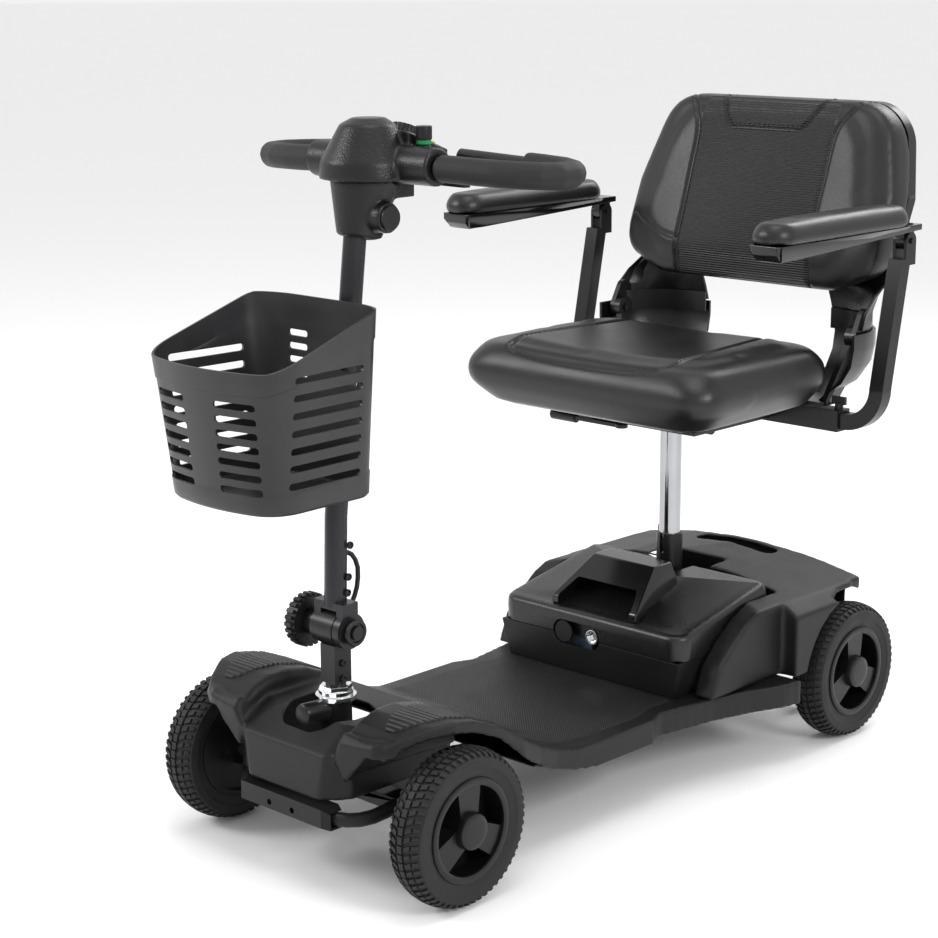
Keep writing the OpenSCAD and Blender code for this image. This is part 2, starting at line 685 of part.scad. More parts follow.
module battery_lid() color("#151617") placed() {
    difference() {
        lid_form(0);
        difference() {
            lid_form(shroud_wall);
            block([-200, 225, 100], [200, 300, 300]);
        }
        block([-30, 228, 100], [30, 320, 300]);
        // recess for the charge socket and its cover
        charge_recess();
    }
    // panel behind the recess
    block([-70, 84.2, case_seam_z - 10], [30, 88, case_seam_z + 24]);
    // carrying handle
    difference() {
        hull() {
            block([-78, 84, 222], [78, 88, 226]);
            block([-56, 150, 274], [56, 190, 278]);
            block([-62, 190, 240], [62, 196, 250]);
        }
        hull() {
            block([-66, 60, 200], [66, 64, 230]);
            block([-46, 156, 262], [46, 240, 266]);
            block([-66, 250, 200], [66, 254, 230]);
        }
        lid_form(0);
    }
}
module lid_form(d) {
    hull() {
        block([-case_half_w + d, 72 + d, case_seam_z], [case_half_w - d, 282 - d, case_seam_z + 1]);
        block([-case_half_w - 1 + d, 90 + d, 214 - d], [case_half_w + 1 - d, 282 - d, 215 - d]);
        block([-40 + d, 160, 250 - d], [40 - d, 282 - d, 251 - d]);
        block([-case_half_w + 2 + d, 268, 248 - d], [case_half_w - 2 - d, 282 - d, 249 - d]);
    }
}

module battery_cells() color("#3d4a5a") placed() {
    both_sides() block([6, 90, floor_z + 4.4], [140, 216, 196]);
}

module charge_socket() color("silver") placed() translate([4, 84.2, case_seam_z + 4]) rotate([90, 0, 0]) difference() {
    cylinder(h = 7.7, r = 11);
    translate([0, 0, 1.2]) cylinder(h = 7, r = 8);
}
// cover that slides over the socket on its stem
module charge_cover() color("#202122") placed() translate([0, 84.2 - gap, case_seam_z + 4]) rotate([90, 0, 0]) {
    translate([-46, 0, 8]) cylinder(h = 2.5, r = cover_r - 1);
    translate([-59, 0, 0]) cylinder(h = 9, r = 2);
}

// ---------- seat ----------

post_top = 468;
plate_z = 468;
pan_z = 496;
cross_y = 372;
cross_z = 478;
module seat_post() color("#d8dadd") placed() difference() {
    upright(0, seat_y, 150, post_top - gap, post_r);
    upright(0, seat_y, 149, post_top, post_r - 2.5);
}

module seat_base() color("#202123") placed() {
    half = arm_tube_w / 2 + 0.2;
    difference() {
        union() {
            // swivel socket on the post and the plate above it
            upright(0, seat_y, plate_z - 12, plate_z + 6, post_r + 8);
            block([-100, seat_y - 75, plate_z], [100, cross_y - half - 4, plate_z + 6]);
            // cross tube that the arm tubes slide in
            block([-216, cross_y - half - 4, cross_z - half - 4], [216, cross_y + half + 4, cross_z + half + 4]);
        }
        block([-217, cross_y - half, cross_z - half], [217, cross_y + half, cross_z + half]);
        upright(0, seat_y, plate_z - 20, post_top, post_r + run);
    }
    // four bracket tabs with their bolts
    both_sides() for (x = [36, 62]) {
        block([x, seat_y - 8, plate_z - 6], [x + 6, seat_y + 16, plate_z]);
        along_x(x - 3, x + 9, seat_y + 4, plate_z - 5, 9);
    }
}

module swivel_lever() color("#28292b") placed() difference() {
    union() {
        block([-104, seat_y - 93, 466], [-20, seat_y - 83, 472]);
        upright(-20, seat_y - 88, 466, 472, 9);
        along_x(-150, -104, seat_y - 88, 469, 8);
    }
    upright(-20, seat_y - 88, 460, 484, 3 + run);
}

module seat_pan() color("#18191a") placed() {
    // pin of the swivel lever
    upright(-20, seat_y - 88, 465, pan_z + 1, 3);
    difference() {
        hull() {
            block([-150, 84, pan_z], [150, 340, pan_z + 1]);
            block([-165, 74, pan_z + 5], [165, 356, pan_z + 6]);
        }
        block([-140, 94, pan_z + 2], [140, 330, pan_z + 7]);
    }
    // block between the pan and the swivel plate
    block([-90, seat_y - 70, plate_z + 6], [90, seat_y + 80, pan_z]);
    // wings that rise behind the cushion to the hinges
    both_sides() difference() {
        union() {
            hull() {
                block([182, 366, pan_z], [190, 392, pan_z + 8]);
                block([hinge_half_w - 25, 386, 560], [hinge_half_w - 15, 404, 590]);
            }
            block([100, 356, pan_z], [188, 388, pan_z + 6]);
            block([100, 340, pan_z], [164, 357, pan_z + 6]);
            along_x(hinge_half_w - 25, hinge_half_w - 15, hinge_y, hinge_z, 16);
            // floor of the wing
            translate([0, 0, pan_z]) linear_extrude(5) polygon(concat([[100, 345], [160, 345]],
                [for (i = [0:6]) wing(i, 0.55) + [-1, 0]], [[100, wing(6, 0.55)[1]]]));
        }
        along_x(hinge_half_w - 30, hinge_half_w - 5, hinge_y, hinge_z, 5 + run);
    }
    // curved wings that hold the cushion's rear corners and cover the hinges
    both_sides() skin([for (k = [0:5]) let (z = [pan_z, 512, 530, 555, 580, 601][k])
        [for (i = [-1:6]) let (q = wing(i, [0.55, 0.4, 0.18, 0.04, 0, 0][k]))
            [[q[0], q[1], z], [cos(15 * max(i, 0)), sin(15 * max(i, 0)), 0]]]], 4);
}

// plan of the wings, drawn in by a share as they run under the seat
function wing(i, share) = let (q = i < 0 ? [bucket(0, 5)[0], hinge_y - 30] : bucket(i, 5))
    q + share * ([hinge_half_w - 113, 372] - q);

module seat_cushion() color("#1e1f20") placed() hull() for (s = [1, -1]) {
    base = pan_z + 6 + gap;
    translate([s * (cushion_half_w - 76), 106, base]) cylinder(h = 2, r = 40);
    translate([s * (cushion_half_w - 76), 310, base]) cylinder(h = 2, r = 36);
    translate([s * (cushion_half_w - 36), 78, base + 32]) cylinder(h = 22, r = 36);
    translate([s * (cushion_half_w - 48), 320, base + 36]) cylinder(h = 24, r = 36);
    translate([s * (cushion_half_w - 66), 108, base + cushion_t + 10]) cylinder(h = 2, r = 50);
    translate([s * (cushion_half_w - 70), 290, base + cushion_t + 12]) cylinder(h = 2, r = 46);
}

// height z on the backrest lies this far back
function back_y(z) = 418 + (z - 650) * 0.42;
// x, height and corner radius of the backrest's outline
back_outline = [[150, 674, 22], [198, 700, 28], [206, 780, 22], [144, 848, 64]];
module back_plate(y_front, y_back) hull() for (s = [1, -1], q = back_outline) {
    translate([s * q[0], back_y(q[1]) + y_front, q[1]]) rotate([-90, 0, 0]) cylinder(h = y_back - y_front, r = q[2]);
}
// just behind the pad's lower part
function pad_rear(z) = back_y(z) + 36.5 + (z - 652) * 0.14;
module backrest_shell() color("#161718") placed() {
    difference() {
        back_plate(20, 44);
        back_plate(19, 26);
    }
    both_sides() {
        // curved legs that run from behind the pad down inside the seat's wings
        skin([for (z = [604, 626, 648, 670, 700]) let (s = smooth((z - 604) / 86))
            [for (i = [0:6]) let (q = bucket(i, 0), y = max(q[1] * (1 - s) + pad_rear(z) * s, z > 650 ? pad_rear(z) : 0))
                [[q[0], y, z], unit([cos(15 * i) * (1 - s), sin(15 * i) * (1 - s) + s, 0])]]], 4);
        hull() {
            along_x(hinge_half_w - 14.6, hinge_half_w - 7, hinge_y + 12, hinge_z + 26, 14);
            along_x(hinge_half_w - 14.6, hinge_half_w - 7, hinge_y, hinge_z, 16);
        }
        along_x(hinge_half_w - 28, hinge_half_w - 7, hinge_y, hinge_z, 5);
    }
}
function smooth(t) = let (u = min(max(t, 0), 1)) u * u * (3 - 2 * u);
// plan of the legs, from the hinge round to their inner edge, d outside their inner face
function bucket(i, d) = [hinge_half_w - 115 + (108 + d) * cos(15 * i), hinge_y - 3 + (91 + d) * sin(15 * i)];
// a wall t thick; each point of its inner face comes with the direction of its thickness
module skin(rows, t) {
    n = len(rows[0]);
    m = len(rows);
    inner = [for (row = rows, q = row) q[0]];
    outer = [for (row = rows, q = row) q[0] + t * q[1]];
    off = n * m;
    grid = [for (j = [0:m - 2], i = [0:n - 2]) let (a = j * n + i) [a, a + 1, a + n + 1, a + n]];
    rim = concat([for (i = [0:n - 2]) [i, i + 1]], [for (j = [0:m - 2]) [j * n + n - 1, j * n + 2 * n - 1]],
        [for (i = [n - 2:-1:0]) [(m - 1) * n + i + 1, (m - 1) * n + i]], [for (j = [m - 2:-1:0]) [(j + 1) * n, j * n]]);
    polyhedron(concat(inner, outer), concat(
        [for (q = grid) each [[q[0], q[1], q[2]], [q[0], q[2], q[3]]]],
        [for (q = grid) each [[q[2] + off, q[1] + off, q[0] + off], [q[3] + off, q[2] + off, q[0] + off]]],
        [for (e = rim) each [[e[1], e[0], e[0] + off], [e[1], e[0] + off, e[1] + off]]]));
}

module backrest_pad() color("#222324") placed() back_plate(-14, 25.7);

// ---------- arms ----------

bend_r = 52;
module arm_tube() {
    w = arm_tube_w;
    top_y = 408;
    centre = [arm_x - bend_r, cross_z + bend_r];
    difference() {
        union() {
            // across and up through a bend
            translate([0, cross_y + w / 2, 0]) rotate([90, 0, 0]) linear_extrude(w) polygon(concat(
                [[24, cross_z + w / 2], [24, cross_z - w / 2]], arc(centre, bend_r + w / 2, -90, 0, 12),
                arc(centre, bend_r - w / 2, 0, -90, 12)));
            // up to the hinge
            profile([[cross_y - w / 2, cross_z + bend_r - 2], [cross_y + w / 2, cross_z + bend_r - 2],
                [cross_y + w / 2, cross_z + bend_r], [top_y + w / 2, 709], [top_y - w / 2, 709],
                [cross_y - w / 2, cross_z + bend_r]], arm_x - w / 2, arm_x + w / 2);
            // ear plates of the hinge
            for (x = [arm_x - w / 2, arm_x + w / 2 - 4]) {
                block([x, 407, 700], [x + 4, 431, 733.5]);
                along_x(x, x + 4, 419, 733.5, 12);
            }
        }
        along_x(arm_x - 30, arm_x + 30, 419, 733.5, arm_bolt_r);
    }
    along_x(arm_x - w / 2 - 3, arm_x + w / 2 + 3, 419, 733.5, arm_bolt_r);
}
module arm_tube_left() color("#191a1b") placed() arm_tube();
module arm_tube_right() color("#191a1b") placed() right_side() arm_tube();

module armrest() difference() {
    w = arm_tube_w - 8 - 2 * gap;
    union() {
        along_x(arm_x - w / 2, arm_x + w / 2, 419, 733.5, 13);
        block([arm_x - w / 2, 406, 738], [arm_x + w / 2, 432, 752]);
        hull() {
            block([arm_x - 26, 96, 748], [arm_x + 26, 130, 757]);
            block([arm_x - 20, 104, 736], [arm_x + 20, 130, 742]);
            block([arm_x - 20, 400, 749], [arm_x + 20, 430, 757]);
            block([arm_x - 12, 330, 744], [arm_x + 12, 340, 750]);
        }
    }
    along_x(arm_x - 30, arm_x + 30, 419, 733.5, arm_bolt_r + run);
    // clears the ear plates
    block([arm_x - arm_tube_w / 2 - 1, 390, 700], [arm_x - w / 2, 445, 749]);
    block([arm_x + w / 2, 390, 700], [arm_x + arm_tube_w / 2 + 1, 445, 749]);
}
module armrest_left() color("#1b1c1d") placed() armrest();
module armrest_right() color("#1b1c1d") placed() right_side() armrest();
module arm_pad() {
    hull() {
        for (y = [118, 370]) translate([arm_x, y, 757.4]) cylinder(h = 14, r = 30);
        for (y = [120, 368]) translate([arm_x, y, 782]) cylinder(h = 3, r = 22);
    }
}
module arm_pad_left() color("#202122") placed() arm_pad();
module arm_pad_right() color("#202122") placed() right_side() arm_pad();

module wing_knob() {
    upright(0, 0, gap, 9, 6);
    block([-11, -2.5, 7], [11, 2.5, 18]);
}
module wing_knob_place() translate([208, cross_y, cross_z + arm_tube_w / 2 + 4.2]) children();
module wing_knob_left() color("#1b1c1d") placed() wing_knob_place() wing_knob();
module wing_knob_right() color("#1b1c1d") placed() right_side() wing_knob_place() wing_knob();

front_frame();
front_shroud();
foot_mats();
front_bumper();
headset_nuts();
rear_frame();
rear_shroud();
transaxle();
drive_motor();
controller();
anti_tip_bracket();
anti_tip_wheels();
freewheel_lever();
steering_stem();
tension_knob();
tiller_tube();
head_lower();
head_upper();
handlebar();
foam_grips();
console_fittings();
basket_bracket();
tiller_harness();
throttle_lever();
speed_dial();
ignition_key();
horn_button();
basket();
knuckle_left();
knuckle_right();
track_rod();
tyre_front_left();
tyre_front_right();
tyre_rear_left();
tyre_rear_right();
rim_front_left();
rim_front_right();
rim_rear_left();
rim_rear_right();
battery_case();
battery_lid();
battery_cells();
charge_socket();
charge_cover();
seat_post();
seat_base();
swivel_lever();
seat_pan();
seat_cushion();
backrest_shell();
backrest_pad();
arm_tube_left();
arm_tube_right();
armrest_left();
armrest_right();
arm_pad_left();
arm_pad_right();
wing_knob_left();
wing_knob_right();
fasteners();
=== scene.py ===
import bpy, bmesh, math
from mathutils import Matrix, Vector, kdtree
from mathutils.bvhtree import BVHTree


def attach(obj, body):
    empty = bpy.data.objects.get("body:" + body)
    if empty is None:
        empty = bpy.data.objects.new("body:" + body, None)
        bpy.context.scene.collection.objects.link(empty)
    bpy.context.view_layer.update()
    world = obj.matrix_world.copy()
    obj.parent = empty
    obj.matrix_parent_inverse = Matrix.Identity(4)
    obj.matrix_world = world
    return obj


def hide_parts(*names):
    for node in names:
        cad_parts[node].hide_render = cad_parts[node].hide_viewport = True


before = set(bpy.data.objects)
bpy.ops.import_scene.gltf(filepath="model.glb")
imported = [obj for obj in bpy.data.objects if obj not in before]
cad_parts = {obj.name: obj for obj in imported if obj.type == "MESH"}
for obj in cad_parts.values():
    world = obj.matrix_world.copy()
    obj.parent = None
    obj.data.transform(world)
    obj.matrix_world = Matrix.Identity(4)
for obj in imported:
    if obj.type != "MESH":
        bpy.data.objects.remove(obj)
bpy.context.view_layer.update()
scene = bpy.context.scene
# y half-way between the two axles
middle = 0.041


# Studio: a pale floor, a pale room round it, and large soft lamps. The scooter stands a little
# turned, seen from the front and its left, from about chest height.
def clear():
    if bpy.context.mode != "OBJECT":
        bpy.ops.object.mode_set(mode="OBJECT")
    bpy.ops.object.select_all(action="DESELECT")


turn, rise, lean = math.radians(43.89), math.radians(13.16), math.radians(-0.34)
away = Vector((math.sin(turn) * math.cos(rise), -math.cos(turn) * math.cos(rise), math.sin(rise)))
across = Vector((math.cos(turn), math.sin(turn), 0))
upward = away.cross(across)
side = across * math.cos(lean) + upward * math.sin(lean)
top = upward * math.cos(lean) - across * math.sin(lean)
bpy.ops.object.camera_add(location=(1.92488, middle - 2.16787, 1.11558))
camera = bpy.context.object
camera.rotation_euler = Matrix((side, top, away)).transposed().to_euler()
camera.data.lens = 83.71
camera.data.sensor_width = 36
camera.data.clip_end = 60
scene.camera = camera
scene.view_settings.view_transform = "Standard"

clear()
bpy.ops.mesh.primitive_plane_add(size=240, location=(0, 0, 0))
floor = bpy.context.object
floor.name = "studio_floor"
paint = bpy.data.materials.new("studio_white")
paint.use_nodes = True
matt = paint.node_tree.nodes["Principled BSDF"]
matt.inputs["Base Color"].default_value = (0.93, 0.93, 0.93, 1)
matt.inputs["Roughness"].default_value = 0.9
floor.data.materials.append(paint)

room = bpy.data.worlds.new("studio_room")
room.use_nodes = True
room.node_tree.nodes["Background"].inputs["Color"].default_value = (1, 1, 1, 1)
room.node_tree.nodes["Background"].inputs["Strength"].default_value = 0.9
scene.world = room
lamps = (((-2.2, -2.6, 2.4), 1.1, 62), ((3.0, -0.4, 2.0), 0.9, 48), ((0.2, 2.6, 2.6), 1.4, 40),
    ((0.4, -0.4, 3.4), 1.6, 24))
for place, size, power in lamps:
    bpy.ops.object.light_add(type="AREA", location=place)
    lamp = bpy.context.object
    lamp.data.size = size
    lamp.data.energy = power
    lamp.rotation_euler = (Vector((0, 0, 0.45)) - Vector(place)).to_track_quat("-Z", "Y").to_euler()


# Front chassis: a welded steel frame under a moulded shroud, whose nose, fenders and floor are one grained plastic
# piece. Ribbed rubber pads are stuck on the fenders, and a grained mat lies on the floor.
def added(tree, kind, values, links):
    """one more node of a surface, with its sockets filled"""
    node = tree.nodes.new(kind)
    for socket, value in values.items():
        node.inputs[socket].default_value = value
    for socket, source in links.items():
        tree.links.new(source, node.inputs[socket])
    return node


def finish(name, tint, rough, grain, depth, metal=0.0, cloud=14, spread=0.22, gleam=0.3):
    """a surface with its grain, a slow drift of shade and an uneven polish"""
    material = bpy.data.materials.new(name)
    material.use_nodes = True
    tree = material.node_tree
    shader = tree.nodes["Principled BSDF"]
    shader.inputs["Metallic"].default_value = metal
    shader.inputs["Specular IOR Level"].default_value = gleam
    place = tree.nodes.new("ShaderNodeTexCoord").outputs["Object"]
    drift = added(tree, "ShaderNodeTexNoise", {"Scale": cloud, "Detail": 4}, {"Vector": place}).outputs["Fac"]
    shade = added(tree, "ShaderNodeValToRGB", {}, {"Fac": drift})
    shade.color_ramp.elements[0].position = 0.3
    shade.color_ramp.elements[1].position = 0.7
    for stop, share in zip(shade.color_ramp.elements, (1 - spread, 1 + spread)):
        stop.color = [channel * share for channel in tint] + [1]
    polish = added(tree, "ShaderNodeMapRange",
        {"From Min": 0.3, "From Max": 0.7, "To Min": rough * 0.86, "To Max": rough * 1.14}, {"Value": drift})
    speck = added(tree, "ShaderNodeTexNoise", {"Scale": grain, "Detail": 3}, {"Vector": place})
    relief = added(tree, "ShaderNodeBump", {"Strength": depth, "Distance": 0.0006}, {"Height": speck.outputs["Fac"]})
    relief.name = "relief"
    tree.links.new(shade.outputs["Color"], shader.inputs["Base Color"])
    tree.links.new(polish.outputs["Result"], shader.inputs["Roughness"])
    tree.links.new(relief.outputs["Normal"], shader.inputs["Normal"])
    return material


def raised_on(material, height, strength, distance):
    """a coarser relief on top of the finish's own grain"""
    tree = material.node_tree
    relief = added(tree, "ShaderNodeBump", {"Strength": strength, "Distance": distance},
        {"Height": height, "Normal": tree.nodes["relief"].outputs["Normal"]})
    tree.links.new(relief.outputs["Normal"], tree.nodes["Principled BSDF"].inputs["Normal"])


def pick(piece):
    clear()
    piece.select_set(True)
    bpy.context.view_layer.objects.active = piece


def modified(piece, kind, keep=False, **settings):
    """adds one modifier, and applies it unless settle is to do that"""
    pick(piece)
    bpy.ops.object.modifier_add(type=kind)
    modifier = piece.modifiers[-1]
    for name, value in settings.items():
        setattr(modifier, name, value)
    if not keep:
        bpy.ops.object.modifier_apply(modifier=modifier.name)


def linked(name, mesh):
    piece = bpy.data.objects.new(name, mesh)
    scene.collection.objects.link(piece)
    return piece


def built(name, form):
    """a piece made from the faces in form"""
    mesh = bpy.data.meshes.new(name)
    form.to_mesh(mesh)
    form.free()
    return linked(name, mesh)


def settle(piece, body, material, nodes=(), angle=32):
    """gives a piece its finish, smooth shading and the body that it moves with"""
    pick(piece)
    bpy.ops.object.transform_apply(location=True, rotation=True, scale=True)
    piece.data.materials.clear()
    piece.data.materials.append(material)
    bpy.ops.object.shade_smooth_by_angle(angle=math.radians(angle))
    for modifier in list(piece.modifiers):
        bpy.ops.object.modifier_apply(modifier=modifier.name)
    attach(piece, body)
    if nodes:
        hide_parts(*nodes)
    return piece


def welded(piece, flat=0.0):
    """joins the faces of a plain piece, and merges those that lie in one plane within an angle in degrees"""
    pick(piece)
    bpy.ops.object.mode_set(mode="EDIT")
    bpy.ops.mesh.select_all(action="SELECT")
    bpy.ops.mesh.remove_doubles(threshold=0.00002)
    if flat:
        bpy.ops.mesh.dissolve_limited(angle_limit=math.radians(flat))
    bpy.ops.object.mode_set(mode="OBJECT")


def eased(piece, edge, segments, angle, keep=False):
    """rounds the edges sharper than an angle, and lets the faces between them shade flat"""
    modified(piece, "BEVEL", keep, width=edge, segments=segments, limit_method="ANGLE",
        angle_limit=math.radians(angle))
    modified(piece, "WEIGHTED_NORMAL", keep=True, keep_sharp=True)


def mould(node, edge, segments=2, angle=30):
    """the same shape as a plain piece, with its edges rounded as a mould or a press leaves them"""
    piece = linked(node + "_finished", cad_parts[node].data.copy())
    welded(piece, 0.6)
    eased(piece, edge, segments, angle)
    return piece


def moulded(node, edge, body, material):
    settle(mould(node, edge), body, material, [node])


def stretched(name, corners, edge=0.0, segments=3):
    """the tightest skin round the given corners, with its edges rounded"""
    form = bmesh.new()
    for corner in corners:
        form.verts.new(corner)
    bmesh.ops.convex_hull(form, input=form.verts)
    bmesh.ops.dissolve_limit(form, angle_limit=math.radians(0.5), verts=form.verts, edges=form.edges)
    piece = built(name, form)
    if edge:
        modified(piece, "BEVEL", width=edge, segments=segments)
    return piece


def placed(spots, s=1):
    """points given from the scooter's middle, on one side of it or the other"""
    return [(s * x, middle + y, z) for x, y, z in spots]


def corners_of(*boxes):
    return placed([(x, y, z) for low, high in boxes
        for x in (low[0], high[0]) for y in (low[1], high[1]) for z in (low[2], high[2])])


def carve(piece, tool):
    modified(piece, "BOOLEAN", object=tool, operation="DIFFERENCE", solver="EXACT")
    bpy.data.objects.remove(tool)


def softened(piece, grid, passes):
    """the same form in an even skin, with its edges worn round"""
    modified(piece, "REMESH", mode="VOXEL", voxel_size=grid)
    modified(piece, "SMOOTH", factor=0.5, iterations=passes)


def soft_mould(node, grid, passes, extra=()):
    """the same shape with every edge and corner flowing round, as on a thick injection moulding"""
    piece = linked(node + "_finished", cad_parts[node].data.copy())
    if extra:
        pick(piece)
        for part in extra:
            part.select_set(True)
        bpy.ops.object.join()
    welded(piece)
    softened(piece, grid, passes)
    return piece


grained = finish("grained_shroud", (0.0075, 0.0077, 0.0082), 0.38, 1300, 0.6, gleam=0.24)
satin_steel = finish("satin_black_steel", (0.0075, 0.0077, 0.0085), 0.3, 500, 0.12, spread=0.15)
tread_rubber = finish("pad_rubber", (0.011, 0.0113, 0.012), 0.5, 1500, 0.5)
cast = finish("dark_casting", (0.04, 0.041, 0.045), 0.42, 700, 0.5, metal=0.7)
# walls that close the nose to the fenders, the flares that sweep from each fender down to the nose, and the
# fenders' broad lips over the wheels
inner_wall = [(x, y, z) for x in (0.091, 0.103) for y, z in ((-0.490, 0.160), (-0.486, 0.196), (-0.462, 0.213),
    (-0.436, 0.222), (-0.404, 0.223), (-0.370, 0.216), (-0.330, 0.199), (-0.300, 0.178), (-0.300, 0.150))]
front_flare = ((0.095, -0.497, 0.200), (0.150, -0.492, 0.203), (0.150, -0.486, 0.209), (0.095, -0.486, 0.212),
    (0.099, -0.490, 0.146), (0.108, -0.486, 0.160), (0.084, -0.494, 0.176), (0.090, -0.470, 0.150),
    (0.110, -0.462, 0.190), (0.092, -0.450, 0.205))
front_lip = ((0.120, -0.493, 0.192), (0.150, -0.492, 0.190), (0.176, -0.476, 0.196), (0.180, -0.464, 0.214),
    (0.120, -0.480, 0.209), (0.150, -0.484, 0.211), (0.150, -0.482, 0.190))
webs = []
for s in (-1, 1):
    for name, spots in (("inner_wall", inner_wall), ("front_flare", front_flare), ("front_lip", front_lip)):
        webs.append(stretched(name, placed(spots, s)))
shroud = soft_mould("front_shroud", 0.003, 5, webs)
pocket = ((0.022, -0.474, 0.172), (0.038, -0.462, 0.172), (0.054, -0.430, 0.172), (0.054, -0.392, 0.172),
    (0.022, -0.378, 0.172), (0.030, -0.486, 0.26), (0.046, -0.470, 0.26), (0.064, -0.432, 0.26),
    (0.064, -0.388, 0.26), (0.030, -0.374, 0.26))
carve(shroud, stretched("stem_pocket", placed(pocket, -1) + placed(pocket, 1), 0.008, 4))
settle(shroud, "chassis", grained, ["front_shroud"], angle=180)
moulded("front_frame", 0.0012, "chassis", satin_steel)
moulded("front_bumper", 0.002, "chassis", grained)


# Floor mat and fender pads: sheets of black rubber stuck on the shroud. The mat has a fine diamond pattern, and each
# leaf-shaped pad has broad ribs across it.
def crossed_ribs(material, scale, turns, distance):
    """fine raised ribs that cross each other"""
    tree = material.node_tree
    place = next(node for node in tree.nodes if node.type == "TEX_COORD").outputs["Object"]
    waves = []
    for angle in turns:
        turned_place = added(tree, "ShaderNodeMapping", {"Rotation": (0, 0, angle)}, {"Vector": place})
        wave = added(tree, "ShaderNodeTexWave", {"Scale": scale}, {"Vector": turned_place.outputs["Vector"]})
        waves.append(wave.outputs["Fac"])
    both = added(tree, "ShaderNodeMath", {}, {0: waves[0], 1: waves[1]})
    both.operation = "MULTIPLY"
    raised_on(material, both.outputs["Value"], 1.0, distance)


def laid_on(name, skin, rows, lift):
    """a sheet of rubber laid on the shroud; each row gives its y, its left and right ends and how many points"""
    form = bmesh.new()
    previous = None
    ground = 0.17
    for y, left, right, count in rows:
        spots = []
        for k in range(count):
            x = left + (right - left) * k / (count - 1)
            hit = skin.ray_cast(Vector((x, y + middle, 0.4)), Vector((0, 0, -1)))[0]
            ground = hit.z if hit and hit.z > 0.10 else ground
            turned_down = k in (0, count - 1)
            spots.append(form.verts.new((x, y + middle, ground + lift(y) * (-1.5 if turned_down else 1))))
        if previous:
            for k in range(count - 1):
                form.faces.new((previous[k], previous[k + 1], spots[k + 1], spots[k]))
        previous = spots
    bmesh.ops.recalc_face_normals(form, faces=form.faces)
    if sum(face.normal.z for face in form.faces) < 0:
        bmesh.ops.reverse_faces(form, faces=form.faces)
    return built(name, form)


skin = BVHTree.FromObject(shroud, bpy.context.evaluated_depsgraph_get())
mat_rubber = finish("floor_mat_rubber", (0.0085, 0.0087, 0.0092), 0.44, 1500, 0.4, gleam=0.3)
crossed_ribs(mat_rubber, 105, (math.radians(45), math.radians(-45)), 0.001)
# half the mat's width at each distance from the middle
mat_edge = ((-0.300, 0.088), (-0.262, 0.112), (-0.230, 0.140), (-0.200, 0.158), (-0.150, 0.166), (-0.010, 0.166),
    (0.020, 0.156), (0.070, 0.156))
mat_rows = [(-0.3015, -0.088, 0.088, 56)]
for k in range(93):
    y = -0.300 + 0.004 * k
    for (y0, w0), (y1, w1) in zip(mat_edge, mat_edge[1:]):
        if y0 <= y <= y1:
            reach = w0 + (w1 - w0) * (y - y0) / (y1 - y0)
    mat_rows.append((y, -reach, reach, 56))
floor_mat = laid_on("floor_mat", skin, mat_rows, lambda y: 0.0022 if y > -0.300 else -0.002)
pad_rubber = finish("fender_pad_rubber", (0.006, 0.0062, 0.0066), 0.38, 1500, 0.3, gleam=0.3)
settle(floor_mat, "chassis", mat_rubber, ["foot_mats"], angle=60)
for s, hand in ((-1, "right"), (1, "left")):
    leaf_rows = []
    for k in range(176):
        y = -0.462 + 0.0012 * k
        half_width = 0.040 * math.sin(math.pi * min(1, (k + 1.5) / 178)) ** 0.55
        centre = s * (0.148 + 0.012 * k / 176)
        leaf_rows.append((y, centre - half_width, centre + half_width, 20))
    leaf = laid_on(f"fender_pad_{hand}", skin, leaf_rows,
        lambda y: 0.0010 + 0.0020 * max(0.0, math.sin(2 * math.pi * y / 0.0072)))
    settle(leaf, "chassis", pad_rubber, angle=30)
chrome = finish("bright_chrome", (0.82, 0.83, 0.85), 0.07, 60, 0.02, metal=1.0, spread=0.03)
moulded("headset_nuts", 0.0008, "stem", chrome)


# Rear chassis: a welded steel frame with a cast transaxle, its motor and red freewheel lever, and a moulded shroud
# with both rear fenders, screwed down over the frame.
settle(soft_mould("rear_shroud", 0.003, 12), "chassis", grained, ["rear_shroud"], angle=180)
moulded("rear_frame", 0.0012, "chassis", satin_steel)
moulded("transaxle", 0.002, "chassis", cast)
moulded("drive_motor", 0.001, "chassis", cast)
moulded("controller", 0.0006, "chassis", cast)
moulded("anti_tip_bracket", 0.001, "chassis", satin_steel)
moulded("anti_tip_wheels", 0.002, "anti_tip", tread_rubber)
red = finish("red_lever", (0.42, 0.012, 0.014), 0.35, 400, 0.08)
moulded("freewheel_lever", 0.0012, "freewheel", red)


# Steering: a steel stem in the neck, two cast knuckles that carry the front wheels, and a tie rod between their
# arms. The bright headset nuts clamp the stem's bearings.
moulded("steering_stem", 0.0015, "stem", satin_steel)
moulded("track_rod", 0.001, "track", satin_steel)
moulded("knuckle_left", 0.001, "knuckle_l", cast)
moulded("knuckle_right", 0.001, "knuckle_r", cast)


# Wheels: solid rubber tyres with moulded tread blocks, pressed on two-piece plastic rims with three broad spokes,
# each with a plain hub cap.
tyre_rubber = finish("solid_tyre", (0.0095, 0.0095, 0.0102), 0.56, 900, 0.5, cloud=30)
rim_plastic = finish("moulded_rim", (0.005, 0.0051, 0.0056), 0.3, 1200, 0.3)
tread_base = 0.0965
tread_count = 56
wheels = []
for end, half_track, axle_y in (("front", 0.210, -0.408), ("rear", 0.2055, 0.408)):
    for hand, s in (("left", 1), ("right", -1)):
        wheels.append((f"{end}_{hand}", s, (s * half_track, middle + axle_y, 0.100)))


